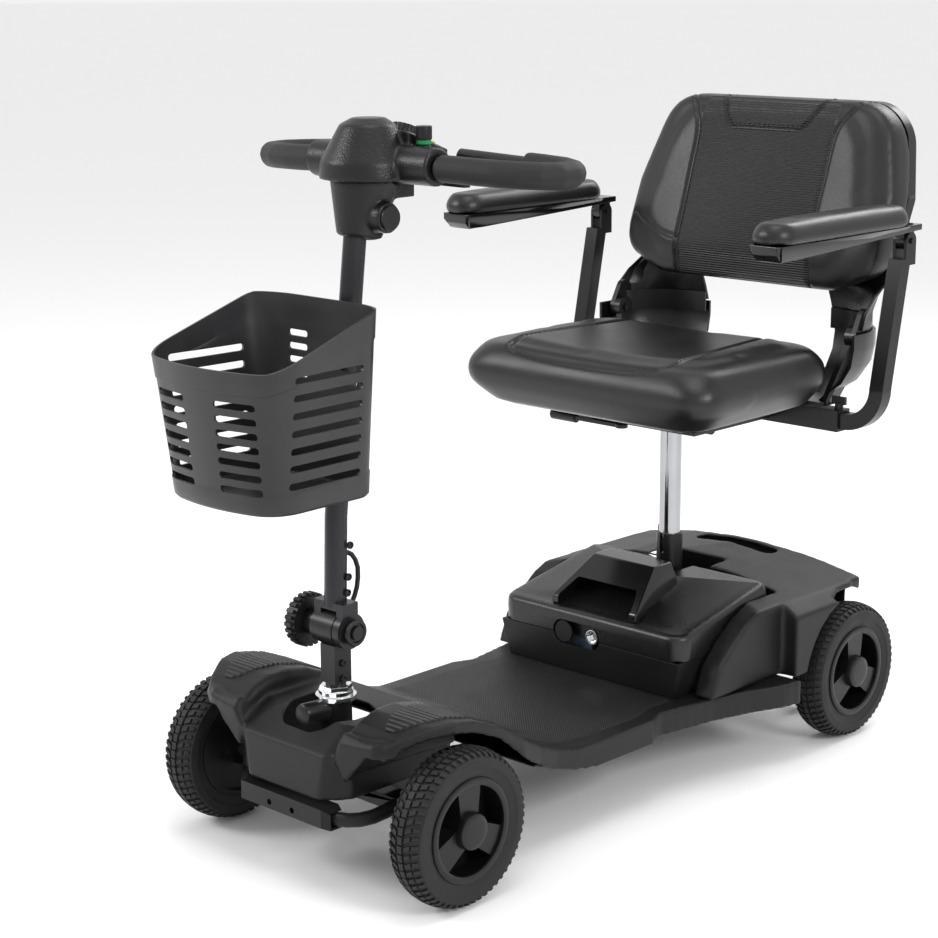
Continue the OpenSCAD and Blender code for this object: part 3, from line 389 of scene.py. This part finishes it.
def turned(name, profile, steps=96):
    """a round piece turned about the X axis from points of distance along it and radius"""
    mesh = bpy.data.meshes.new(name)
    mesh.from_pydata([(x, 0, r) for x, r in profile], [(k, (k + 1) % len(profile)) for k in range(len(profile))], [])
    piece = linked(name, mesh)
    pick(piece)
    bpy.ops.object.mode_set(mode="EDIT")
    bpy.ops.mesh.select_all(action="SELECT")
    bpy.ops.mesh.spin(steps=steps, angle=2 * math.pi, center=(0, 0, 0), axis=(1, 0, 0))
    bpy.ops.mesh.select_all(action="SELECT")
    bpy.ops.mesh.remove_doubles(threshold=0.00001)
    bpy.ops.mesh.normals_make_consistent(inside=False)
    bpy.ops.object.mode_set(mode="OBJECT")
    return piece


def crown(x):
    """radius of the tread's base at a distance from the tyre's middle"""
    return tread_base - 0.0075 * (abs(x) / 0.0255) ** 2.4


half_tyre = [(-x, crown(x)) for x in (0, 0.005, 0.010, 0.015, 0.020, 0.0235, 0.0250)]
half_tyre += [(-0.0255, 0.0845), (-0.0253, 0.079), (-0.0240, 0.0775), (-0.0236, 0.0745), (-0.0225, 0.0705),
    (-0.0215, 0.0665), (-0.019, 0.0662)]
tyre = turned("tyre_model", half_tyre + [(-x, r) for x, r in reversed(half_tyre[1:])])
blocks = bmesh.new()


def tread_block(angle, outline, high):
    """one block of rubber, its outline given as distance across and around the tread"""
    count = len(outline)
    middle_x = sum(x for x, run in outline) / count
    middle_run = sum(run for x, run in outline) / count
    low_ring, high_ring = [], []
    for x, run in outline:
        for ring, grow, share in ((low_ring, -0.002, 1.0), (high_ring, high, 0.86)):
            px, prun = middle_x + (x - middle_x) * share, middle_run + (run - middle_run) * share
            r = min(crown(px) + grow, 0.0999)
            a = angle + prun / tread_base
            ring.append(blocks.verts.new((px, r * math.sin(a), r * math.cos(a))))
    blocks.faces.new(high_ring)
    for k in range(count):
        blocks.faces.new((low_ring[k], low_ring[(k + 1) % count], high_ring[(k + 1) % count], high_ring[k]))


for k in range(tread_count):
    angle = 2 * math.pi * k / tread_count
    for s in (-1, 1):
        shift = 0.0 if s > 0 else 0.5 * 2 * math.pi * tread_base / tread_count
        for outline in (((0.0062, -0.0022), (0.0150, 0.0016), (0.0150, 0.0082), (0.0062, 0.0044)),
                ((0.0168, 0.0022), (0.0236, 0.0040), (0.0236, 0.0092), (0.0168, 0.0082))):
            tread_block(angle, [(s * x, shift + run) for x, run in outline][::s], 0.003)
    tread_block(angle, [(-0.0042, -0.0052), (0.0042, -0.0052), (0.0042, 0.0052), (-0.0042, 0.0052)], 0.0032)
bmesh.ops.recalc_face_normals(blocks, faces=blocks.faces)
tread = built("tread_model", blocks)
pick(tyre)
tread.select_set(True)
bpy.ops.object.join()
for wheel, s, hub in wheels:
    copy = linked(f"tyre_{wheel}_finished", tyre.data.copy())
    copy.location = hub
    settle(copy, f"wheel_{wheel}", tyre_rubber, [f"tyre_{wheel}"], angle=35)
    settle(mould(f"rim_{wheel}", 0.0016, 3), f"wheel_{wheel}", rim_plastic, [f"rim_{wheel}"])
cap = turned("hub_cap_model", [(0.0205, 0.0216), (0.0274, 0.0210), (0.0276, 0.0), (0.0296, 0.0), (0.0296, 0.0150),
    (0.0292, 0.0195), (0.0280, 0.0222), (0.0250, 0.0232), (0.0205, 0.0236)], 64)
bead = turned("bead_model", [(0.0200, 0.0560), (0.0232, 0.0566), (0.0240, 0.0585), (0.0240, 0.0635),
    (0.0232, 0.0652), (0.0200, 0.0656)])
for wheel, s, hub in wheels:
    for model, name in ((cap, "hub_cap"), (bead, "rim_bead")):
        copy = linked(f"{name}_{wheel}", model.data.copy())
        if s < 0:
            copy.rotation_euler = (0, 0, math.pi)
        copy.location = hub
        settle(copy, f"wheel_{wheel}", rim_plastic)
for model in (tyre, cap, bead):
    bpy.data.objects.remove(model)


# Tiller: a painted aluminium tube in a hinge that a toothed knob clamps, under a moulded head with its console,
# foam-covered loop bar, throttle lever, speed dial, key and horn button.
head_plastic = finish("textured_head", (0.008, 0.0082, 0.0088), 0.33, 420, 0.9)
foam = finish("grip_foam", (0.011, 0.0112, 0.0118), 0.55, 1500, 0.7)
gloss = finish("gloss_black", (0.004, 0.0041, 0.0045), 0.16, 300, 0.04, gleam=0.45)
green = finish("green_collar", (0.01, 0.25, 0.07), 0.3, 300, 0.05)
cable = finish("cable_sheath", (0.008, 0.008, 0.0085), 0.35, 900, 0.1)
tube_paint = finish("tiller_paint", (0.022, 0.0225, 0.025), 0.27, 500, 0.1, metal=0.4, spread=0.1)
moulded("tiller_tube", 0.001, "tiller", tube_paint)
moulded("handlebar", 0.0005, "tiller", satin_steel)
moulded("basket_bracket", 0.001, "tiller", satin_steel)
moulded("tiller_harness", 0.0002, "tiller", cable)
moulded("fasteners", 0.001, "tiller", satin_steel)
for node, grid, passes, material, slot in (("head_lower", 0.002, 9, head_plastic, "fine_plastic"),
        ("head_upper", 0.002, 9, head_plastic, "fine_plastic"), ("foam_grips", 0.0022, 8, foam, "foam")):
    settle(soft_mould(node, grid, passes), "tiller", material, [node], angle=180)
# the fittings above this height are the green collar, and those below it are black
for keep_low, material, slot, nodes in ((False, green, "green_plastic", ["console_fittings"]),
        (True, head_plastic, "fine_plastic", ())):
    fitting = mould("console_fittings", 0.0005)
    pick(fitting)
    bpy.ops.object.mode_set(mode="EDIT")
    bpy.ops.mesh.select_all(action="DESELECT")
    shape = bmesh.from_edit_mesh(fitting.data)
    for face in shape.faces:
        face.select = (face.calc_center_median().z < 0.85) != keep_low
    bmesh.update_edit_mesh(fitting.data)
    bpy.ops.mesh.delete(type="FACE")
    bpy.ops.object.mode_set(mode="OBJECT")
    settle(fitting, "tiller", material, nodes)
for node, edge, body in (("tension_knob", 0.0008, "tilt_clamp"), ("throttle_lever", 0.001, "throttle"),
        ("speed_dial", 0.0008, "dial"), ("ignition_key", 0.001, "key")):
    moulded(node, edge, body, head_plastic)
yellow = finish("horn_yellow", (0.5, 0.33, 0.02), 0.35, 300, 0.05)
moulded("horn_button", 0.0008, "horn", yellow)


# Bolts: hexagon socket screws of black steel through the tiller tube and the stem. A turned cover sits in front of
# the stem, and a moulded cap closes the hinge's bolt.
def screw_head(name, place, s, radius, high, body):
    """a round head with a hexagon socket sunk in it"""
    clear()
    bpy.ops.mesh.primitive_cylinder_add(vertices=32, radius=radius, depth=high, location=(0, 0, high / 2))
    head = bpy.context.object
    head.name = name
    bpy.ops.object.transform_apply(location=True)
    bpy.ops.object.mode_set(mode="EDIT")
    bpy.ops.mesh.select_all(action="DESELECT")
    shape = bmesh.from_edit_mesh(head.data)
    for face in shape.faces:
        face.select = face.normal.z > 0.9
    bmesh.update_edit_mesh(head.data)
    bpy.ops.mesh.inset(thickness=radius * 0.45)
    bpy.ops.mesh.inset(thickness=radius * 0.03, depth=-high * 0.55)
    bpy.ops.object.mode_set(mode="OBJECT")
    modified(head, "BEVEL", width=high * 0.3, segments=3, limit_method="ANGLE")
    head.rotation_euler = Vector((s, 0, 0)).to_track_quat("Z", "Y").to_euler()
    head.location = placed([place], s)[0]
    settle(head, body, satin_steel)


for s, hand in ((-1, "right"), (1, "left")):
    for n, z in enumerate((0.352, 0.372, 0.412)):
        tube_y = -0.406 + (z - 0.305) * 0.0917
        screw_head(f"tube_bolt_{hand}_{n}", (0.0142, tube_y, z), s, 0.0048, 0.004, "tiller")
    for n, z in enumerate((0.242, 0.262)):
        screw_head(f"stem_bolt_{hand}_{n}", (0.0129, -0.410, z), s, 0.0045, 0.0035, "stem")
pin_cover = turned("pin_cover", [(-0.0205, 0.0), (-0.0205, 0.0100), (-0.0190, 0.0125), (-0.0160, 0.0138),
    (0.0190, 0.0138), (0.0200, 0.0130), (0.0200, 0.0)], 48)
pin_cover.rotation_euler = (0, math.radians(4), math.radians(90))
pin_cover.location = (0, middle - 0.4485, 0.2045)
settle(pin_cover, "chassis", satin_steel, angle=35)
cap_ring = turned("hinge_cap_ring", [(0.0262, 0.0), (0.0262, 0.0155), (0.0270, 0.0170), (0.0290, 0.0172),
    (0.0300, 0.0160), (0.0300, 0.0125), (0.0280, 0.0115), (0.0280, 0.0095), (0.0325, 0.0088), (0.0325, 0.0)], 64)
cap_ring.location = (0.0065, middle - 0.406, 0.305)
settle(cap_ring, "tiller", head_plastic, angle=35)


# Basket: a tapered bin moulded in one piece of satin plastic, with a pointed front, large rounded corners, a rolled
# collar band under the rim and rows of slots in its walls.
def basket_ring(level, inset=0.0, points=96):
    """the basket's outline in plan at a height, from low 0 to rim 1"""
    corners = ((0, -0.609 - 0.019 * level, 0.09), (0.101 + 0.018 * level, -0.590 - 0.012 * level, 0.042),
        (0.098 + 0.015 * level, -0.434 + 0.004 * level, 0.024), (0.066 + 0.006 * level, -0.420 + 0.005 * level, 0.02),
        (-0.066 - 0.006 * level, -0.420 + 0.005 * level, 0.02), (-0.098 - 0.015 * level, -0.434 + 0.004 * level, 0.024),
        (-0.101 - 0.018 * level, -0.590 - 0.012 * level, 0.042))
    outline = []
    for i, (x, y, radius) in enumerate(corners):
        here = Vector((x, y))
        before = Vector(corners[i - 1][:2]) - here
        after = Vector(corners[(i + 1) % len(corners)][:2]) - here
        reach = min(radius, before.length * 0.48, after.length * 0.48)
        first, last = here + before.normalized() * reach, here + after.normalized() * reach
        for k in range(9):
            t = k / 8
            outline.append(first * (1 - t) ** 2 + here * 2 * t * (1 - t) + last * t * t)
    lengths = [0.0]
    for here, there in zip(outline, outline[1:] + outline[:1]):
        lengths.append(lengths[-1] + (there - here).length)
    ring, k = [], 0
    for n in range(points):
        gone = lengths[-1] * n / points
        while lengths[k + 1] < gone:
            k += 1
        t = (gone - lengths[k]) / (lengths[k + 1] - lengths[k])
        ring.append(outline[k].lerp(outline[(k + 1) % len(outline)], t))
    centre = Vector((0, -0.51))
    return [spot - (spot - centre).normalized() * inset for spot in ring]


def rim_height(y):
    """the rim rises from the front to the back"""
    return 0.664 + 0.056 * min(max((y + 0.600) / 0.165, 0), 1)


def ring_faces(form, previous, spots):
    """a band of faces from one ring of points to the next, or the face that closes the first ring"""
    if not previous:
        form.faces.new(list(reversed(spots)))
        return
    for k in range(len(spots)):
        after = (k + 1) % len(spots)
        form.faces.new((previous[k], previous[after], spots[after], spots[k]))


form = bmesh.new()
# each ring's share of the wall's height, its height where that is fixed, and how far it is drawn in
layers = ((0.0, 0.4945, 0.010), (0.0, 0.4945, 0.004), (0.0, 0.4985, 0.0), (0.06, 0, 0), (0.12, 0, 0), (0.13, 0, 0.0012),
    (0.4, 0, 0.0012), (0.72, 0, 0.0012), (0.838, 0, 0.0012), (0.845, 0, 0.0), (0.92, 0, 0.0), (1.0, 0, 0.0))
previous = None
for level, fixed, inset in layers:
    spots = []
    for spot in basket_ring(level, inset):
        z = fixed if fixed else 0.4985 + (rim_height(spot.y) - 0.4985) * level
        spots.append(form.verts.new((spot.x, spot.y + middle, z)))
    ring_faces(form, previous, spots)
    previous = spots
bmesh.ops.recalc_face_normals(form, faces=form.faces)
bin_piece = built("basket_walls", form)
modified(bin_piece, "SOLIDIFY", thickness=0.0032, offset=-1)


def slot_cutter(x, y, z, turn_z, long, high, deep=0.05):
    """a bar with round ends that cuts one slot"""
    clear()
    bpy.ops.mesh.primitive_cube_add(size=1, location=(0, 0, 0))
    cutter = bpy.context.object
    cutter.scale = (long, deep, high)
    bpy.ops.object.transform_apply(scale=True)
    modified(cutter, "BEVEL", width=high * 0.46, segments=4, limit_method="ANGLE")
    cutter.rotation_euler = (0, 0, turn_z)
    cutter.location = (x, y + middle, z)
    bpy.ops.object.transform_apply(location=True, rotation=True)
    return cutter


cutters = []
for k in range(7):
    z = 0.523 + k * 0.0168
    spread = (z - 0.4985) / 0.17
    for s in (-1, 1):
        cutters.append(slot_cutter(s * (0.053 + 0.004 * spread), -0.600 - 0.010 * spread, z, s * math.radians(11),
            0.060, 0.0088))
        cutters.append(slot_cutter(s * (0.098 + 0.012 * spread), -0.511, z + 0.006 + 0.004 * k, math.radians(90),
            0.112, 0.0088))
for z in (0.624, 0.6405, 0.657, 0.6735):
    for s in (-1, 1):
        cutters.append(slot_cutter(s * 0.044, -0.418, z, 0, 0.034, 0.0082))
pick(cutters[0])
for cutter in cutters:
    cutter.select_set(True)
bpy.ops.object.join()
carve(bin_piece, cutters[0])
eased(bin_piece, 0.0007, 2, 40, keep=True)
basket_plastic = finish("basket_plastic", (0.018, 0.0184, 0.0196), 0.34, 900, 0.4, cloud=9, spread=0.3, gleam=0.36)
settle(bin_piece, "basket_body", basket_plastic, ["basket"], angle=40)


# Battery box: a lift-off plastic case for the cells, with a glossy lid whose handle is moulded on, a charge socket
# in the front wall and a round cover that slides over it.
moulded("battery_case", 0.002, "battery", grained)


def lid_top(x, y):
    """height of the lid's crown, which climbs from its front edge to the seat post"""
    start = 0.160 + (max(abs(x), 0.040) - 0.040) / 0.122 * 0.108
    climb = min(max((y - 0.090) / (start - 0.090), 0), 1)
    return 0.214 + 0.036 * (climb - 0.12 * math.sin(math.pi * climb) * climb)


def lid_outline(grow, points=24):
    """rounded rectangle in plan"""
    outline = []
    for cx, cy, radius, first in ((0.140, 0.098, 0.026, -90), (0.146, 0.264, 0.018, 0), (-0.146, 0.264, 0.018, 90),
            (-0.140, 0.098, 0.026, 180)):
        for k in range(points + 1):
            a = math.radians(first + 90 * k / points)
            outline.append((cx + (radius + grow) * math.cos(a), cy + (radius + grow) * math.sin(a)))
    return outline


form = bmesh.new()
lid_foot = 0.1762
# the wall's rings, from foot to edge, then the crown's rings, which shrink to the middle
lid_rings = [(0.0, -0.0010, 1), (0.06, 0.0, 1), (0.55, 0.0008, 1), (0.80, 0.0002, 1), (0.90, -0.0014, 1),
    (0.965, -0.0046, 1), (1.0, -0.0095, 1)]
lid_rings += [(1.0, -0.0095, share) for share in (0.93, 0.86, 0.78, 0.70, 0.6, 0.5, 0.4, 0.3, 0.2, 0.1, 0.02)]
previous = None
for wall, grow, share in lid_rings:
    spots = []
    for x, y in lid_outline(grow):
        x, y = x * share, 0.190 + (y - 0.190) * share
        spots.append(form.verts.new((x, y + middle, lid_foot + (lid_top(x, y) - lid_foot) * wall)))
    ring_faces(form, previous, spots)
    previous = spots
form.faces.new(previous)
bmesh.ops.remove_doubles(form, verts=form.verts, dist=0.00001)
bmesh.ops.recalc_face_normals(form, faces=form.faces)
lid = built("battery_cover", form)
carve(lid, stretched("post_notch", corners_of(((-0.030, 0.228, 0.1), (0.030, 0.32, 0.3))), 0.006))
recess = []
for x, first in ((0.004, -90), (-0.046, 90)):
    for k in range(17):
        a = math.radians(first + 180 * k / 16)
        recess += [(x + 0.018 * math.cos(a), y, 0.180 + 0.018 * math.sin(a)) for y in (0.05, 0.0840)]
carve(lid, stretched("socket_recess", placed(recess)))
handle = stretched("battery_handle", corners_of(((-0.078, 0.084, 0.214), (0.078, 0.088, 0.226)),
    ((-0.056, 0.150, 0.274), (0.056, 0.190, 0.278)), ((-0.062, 0.190, 0.236), (0.062, 0.198, 0.250))), 0.004, 4)
carve(handle, stretched("finger_room", corners_of(((-0.066, 0.06, 0.200), (0.066, 0.064, 0.230)),
    ((-0.046, 0.156, 0.262), (0.046, 0.240, 0.266)), ((-0.066, 0.250, 0.200), (0.066, 0.254, 0.230))), 0.003, 3))
lid_plastic = finish("lid_plastic", (0.006, 0.0062, 0.0067), 0.27, 1300, 0.35, gleam=0.45)
for piece in (lid, handle):
    eased(piece, 0.0012, 2, 35, keep=True)
settle(lid, "battery", lid_plastic, ["battery_lid"], angle=35)
settle(handle, "battery", gloss, angle=35)
wrap = finish("cell_wrap", (0.05, 0.07, 0.1), 0.4, 100, 0.05)
moulded("battery_cells", 0.002, "battery", wrap)
moulded("charge_socket", 0.0008, "battery", chrome)
moulded("charge_cover", 0.0008, "charge_flap", grained)


# Seat frame: a chromed post under a pressed steel swivel base, a moulded pan with two wings, and a moulded
# backrest shell hinged between them. Square steel arm tubes slide in the base and are clamped by wing knobs.
post_chrome = finish("post_chrome", (0.36, 0.365, 0.38), 0.09, 60, 0.02, metal=1.0, spread=0.06)
moulded("seat_post", 0.0005, "post", post_chrome)
moulded("swivel_lever", 0.001, "swivel_handle", satin_steel)
moulded("seat_base", 0.001, "seat", satin_steel)
seat_plastic = finish("seat_plastic", (0.0052, 0.0053, 0.0057), 0.29, 900, 0.12, gleam=0.38)
moulded("seat_pan", 0.0015, "seat", seat_plastic)
moulded("backrest_shell", 0.0015, "back", seat_plastic)
for hand in ("left", "right"):
    moulded(f"arm_tube_{hand}", 0.0025, f"arm_{hand}", satin_steel)
    moulded(f"armrest_{hand}", 0.002, f"rest_{hand}", gloss)
    moulded(f"wing_knob_{hand}", 0.0008, f"clamp_{hand}", head_plastic)


# Soft seat and backrest: moulded foam under grained vinyl, with a ribbed fabric panel sewn into the back and double
# rows of stitching. The foam is blown up inside its cover by a short cloth run, and the seams are drawn in after it.
def plump(node, name, cap, shrink, smoothing, rest_z=None, back_limit=None, voxel=0.005):
    """a padded form grown from the plain solid: rounded, swollen and stopped where it rests on something"""
    pad = linked(name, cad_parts[node].data.copy())
    welded(pad)
    softened(pad, voxel, smoothing)
    modified(pad, "DISPLACE", strength=-shrink, mid_level=0)
    start = [vertex.co.copy() for vertex in pad.data.vertices]
    outward = [vertex.normal.copy() for vertex in pad.data.vertices]
    modified(pad, "CLOTH", keep=True)
    cloth = pad.modifiers[-1]
    cloth.settings.use_pressure = True
    cloth.settings.uniform_pressure_force = 4.0
    cloth.settings.effector_weights.gravity = 0
    cloth.settings.quality = 4
    for step in range(1, 21):
        scene.frame_set(step)
    blown = pad.evaluated_get(bpy.context.evaluated_depsgraph_get())
    swollen = [vertex.co.copy() for vertex in blown.data.vertices]
    pad.modifiers.remove(cloth)
    scene.frame_set(1)
    # the foam fills its cover, so the cover swells outwards between two limits and keeps no wrinkles
    for vertex, place, grown, straight_out in zip(pad.data.vertices, start, swollen, outward):
        vertex.co = place + straight_out * min(max((grown - place).dot(straight_out), cap * 0.55), cap)
    pad.data.update()
    modified(pad, "SMOOTH", factor=0.5, iterations=10)
    for vertex in pad.data.vertices:
        place = vertex.co.copy()
        if rest_z is not None:
            place.z = max(place.z, rest_z)
        if back_limit is not None:
            place.y = min(place.y, back_limit(place.z))
        vertex.co = place
    pad.data.update()
    modified(pad, "SUBSURF", levels=1, render_levels=1)
    return pad


def sewing_line(points, step=0.002):
    """points every step along a curve through the given ones"""
    line = []
    for i in range(len(points) - 1):
        before, here, there, after = (Vector(points[max(0, min(len(points) - 1, k))])
            for k in (i - 1, i, i + 1, i + 2))
        count = max(2, round((there - here).length / step))
        for k in range(count):
            t = k / count
            line.append(0.5 * (2 * here + (there - before) * t
                + (2 * before - 5 * here + 4 * there - after) * t * t
                + (3 * here - before - 3 * there + after) * t ** 3))
    line.append(Vector(points[-1]))
    return line


def draw_in(pad, lines, wide, deep, inward, facing=0.3):
    """pulls the cover in along the sewing lines, which are given on the face that looks against inward"""
    def flat(place):
        return place - inward * place.dot(inward)

    places = [place for line in lines for place in line]
    tree = kdtree.KDTree(len(places))
    for index, place in enumerate(places):
        tree.insert(flat(place), index)
    tree.balance()
    pad.data.update()
    for vertex in pad.data.vertices:
        if vertex.normal.dot(inward) < -facing:
            _, _, away_from = tree.find(flat(vertex.co))
            if away_from < wide:
                vertex.co += inward * deep * (0.5 + 0.5 * math.cos(math.pi * away_from / wide))


def stitches(name, pad, lines, inward, offsets, pitch=0.0075, long=0.0052, thick=0.0006):
    """short threads that lie on the cover beside the sewing lines"""
    pad.data.update()
    skin = BVHTree.FromObject(pad, bpy.context.evaluated_depsgraph_get())
    form = bmesh.new()
    for line in lines:
        for offset in offsets:
            gone = 0.0
            for here, there in zip(line, line[1:]):
                gone += (there - here).length
                if gone < pitch:
                    continue
                gone = 0.0
                along = (there - here).normalized()
                sideways = along.cross(inward).normalized()
                hit, normal, _, _ = skin.ray_cast(here + sideways * offset - inward * 0.2, inward)
                if hit is None:
                    continue
                along = (along - normal * along.dot(normal)).normalized()
                lie = Matrix((along, normal.cross(along), normal)).transposed().to_4x4()
                size = Matrix.Diagonal((long / 2, thick, thick, 1))
                thread_verts = bmesh.ops.create_icosphere(form, subdivisions=1, radius=1.0)["verts"]
                bmesh.ops.transform(form, verts=thread_verts,
                    matrix=Matrix.Translation(hit + normal * thick * 0.3) @ lie @ size)
    return built(name, form)


vinyl = finish("grained_vinyl", (0.0065, 0.0067, 0.0072), 0.33, 700, 0.5, cloud=9, gleam=0.42)
thread = finish("black_thread", (0.022, 0.022, 0.023), 0.45, 2500, 0.3)
cushion = plump("seat_cushion", "cushion_cover", 0.014, 0.003, 26, rest_z=0.5026,
    back_limit=lambda z: 0.3615 + middle)
down = Vector((0, 0, -1))
left_half = [(x, y, 0.58) for x, y in ((0.05, 0.052), (0.11, 0.055), (0.136, 0.062), (0.146, 0.09), (0.139, 0.16),
    (0.128, 0.26), (0.118, 0.345))]
cushion_seam = sewing_line(placed(left_half, -1)[::-1] + placed(left_half))
draw_in(cushion, [cushion_seam], 0.008, 0.0046, down)
# the panel inside the seam is dished a little for the rider
for vertex in cushion.data.vertices:
    spot = vertex.co
    if spot.z > 0.55:
        dish = max(0.0, 1 - (spot.x / 0.14) ** 2) * max(0.0, 1 - ((spot.y - middle - 0.21) / 0.16) ** 2)
        spot.z -= 0.006 * dish
settle(cushion, "seat", vinyl, ["seat_cushion"], angle=180)
seat_thread = stitches("cushion_stitching", cushion, [cushion_seam], down, (-0.005, 0.005))
settle(seat_thread, "seat", thread, angle=180)

lean_back = 0.42
behind = Vector((0, 1, -lean_back)).normalized()


def back_surface(z):
    """y of the middle of the backrest's pad at a height"""
    return middle + 0.418 + (z - 0.650) * lean_back


def back_seam(spots, s=1):
    return sewing_line([Vector((s * x, back_surface(z) - 0.014, z)) for x, z in spots])


backrest = plump("backrest_pad", "backrest_cover", 0.011, 0.003, 12, back_limit=lambda z: back_surface(z) + 0.0254)
side_seams = [back_seam(((0.120, 0.655), (0.1195, 0.70), (0.119, 0.745), (0.1205, 0.80), (0.122, 0.85),
    (0.131, 0.876), (0.158, 0.915)), s) for s in (-1, 1)]
lower_seams = [back_seam(((0.120, 0.700), (0.150, 0.706), (0.180, 0.716), (0.214, 0.735)), s) for s in (-1, 1)]
patch_seam = back_seam(((-0.097, 0.918), (-0.080, 0.884), (-0.067, 0.866), (-0.050, 0.861), (0.0, 0.861),
    (0.050, 0.861), (0.067, 0.866), (0.080, 0.884), (0.097, 0.918)))
draw_in(backrest, side_seams, 0.006, 0.0036, behind)
draw_in(backrest, lower_seams, 0.005, 0.003, behind)
draw_in(backrest, [patch_seam], 0.0045, 0.003, behind)
# fabric with fine ribs across it between the two side seams, vinyl outside them
ribbed = finish("ribbed_panel", (0.0065, 0.0067, 0.0072), 0.36, 700, 0.5, cloud=9, gleam=0.4)
tree = ribbed.node_tree
place = next(node for node in tree.nodes if node.type == "TEX_COORD").outputs["Object"]
split = added(tree, "ShaderNodeSeparateXYZ", {}, {"Vector": place})
off_centre = added(tree, "ShaderNodeMath", {}, {0: split.outputs["X"]})
off_centre.operation = "ABSOLUTE"
inside_seams = added(tree, "ShaderNodeMapRange", {"From Min": 0.120, "From Max": 0.117},
    {"Value": off_centre.outputs["Value"]})
ribs = added(tree, "ShaderNodeTexWave", {"Scale": 90, "Distortion": 0.3}, {"Vector": place})
ribs.bands_direction = "Z"
raised = added(tree, "ShaderNodeMath", {}, {0: ribs.outputs["Fac"], 1: inside_seams.outputs["Result"]})
raised.operation = "MULTIPLY"
raised_on(ribbed, raised.outputs["Value"], 0.9, 0.0012)
settle(backrest, "back", ribbed, ["backrest_pad"], angle=180)
back_thread = stitches("backrest_stitching", backrest, side_seams + lower_seams + [patch_seam], behind,
    (-0.004, 0.004))
settle(back_thread, "back", thread, angle=180)


# Tongues: thin curved ends of the backrest's two moulded legs. They run down inside the seat's wings and close the
# gap between leg and wing.
for s, hand in ((-1, "right"), (1, "left")):
    form = bmesh.new()
    columns = []
    for k in range(13):
        a = math.radians(7.5 * k)
        x, y = 0.116 + 0.1045 * math.cos(a), middle + 0.394 + 0.0865 * math.sin(a)
        columns.append([form.verts.new((s * x, y, z)) for z in (0.586, 0.600, 0.616)])
    for left, right in zip(columns, columns[1:]):
        for k in range(2):
            form.faces.new((left[k], right[k], right[k + 1], left[k + 1]))
    bmesh.ops.recalc_face_normals(form, faces=form.faces)
    tongue = built(f"leg_tongue_{hand}", form)
    modified(tongue, "SOLIDIFY", thickness=0.003, offset=0)
    settle(tongue, "back", seat_plastic, angle=50)


# Armrests: deep glossy mouldings that taper to the rear, under pads of foam in vinyl. Each body is screwed to its
# arm's plate, and each pad is stuck on top.
body_section = ((0.022, 0.091, 0.757), (0.0265, 0.100, 0.757), (0.020, 0.094, 0.744), (0.017, 0.106, 0.7345),
    (0.019, 0.180, 0.7385), (0.018, 0.395, 0.7495), (0.0255, 0.396, 0.757))
arm_x = 0.275
for hand, s in (("left", 1), ("right", -1)):
    spots = [(arm_x + w * way, y, z) for way in (-1, 1) for w, y, z in body_section]
    body = stretched(f"arm_body_{hand}", placed(spots, s), 0.004, 4)
    settle(body, f"rest_{hand}", gloss, angle=50)
for hand in ("left", "right"):
    arm_pad = plump(f"arm_pad_{hand}", f"arm_pad_{hand}_cover", 0.004, 0.001, 5, rest_z=0.7576, voxel=0.004)
    settle(arm_pad, f"rest_{hand}", vinyl, [f"arm_pad_{hand}"], angle=180)
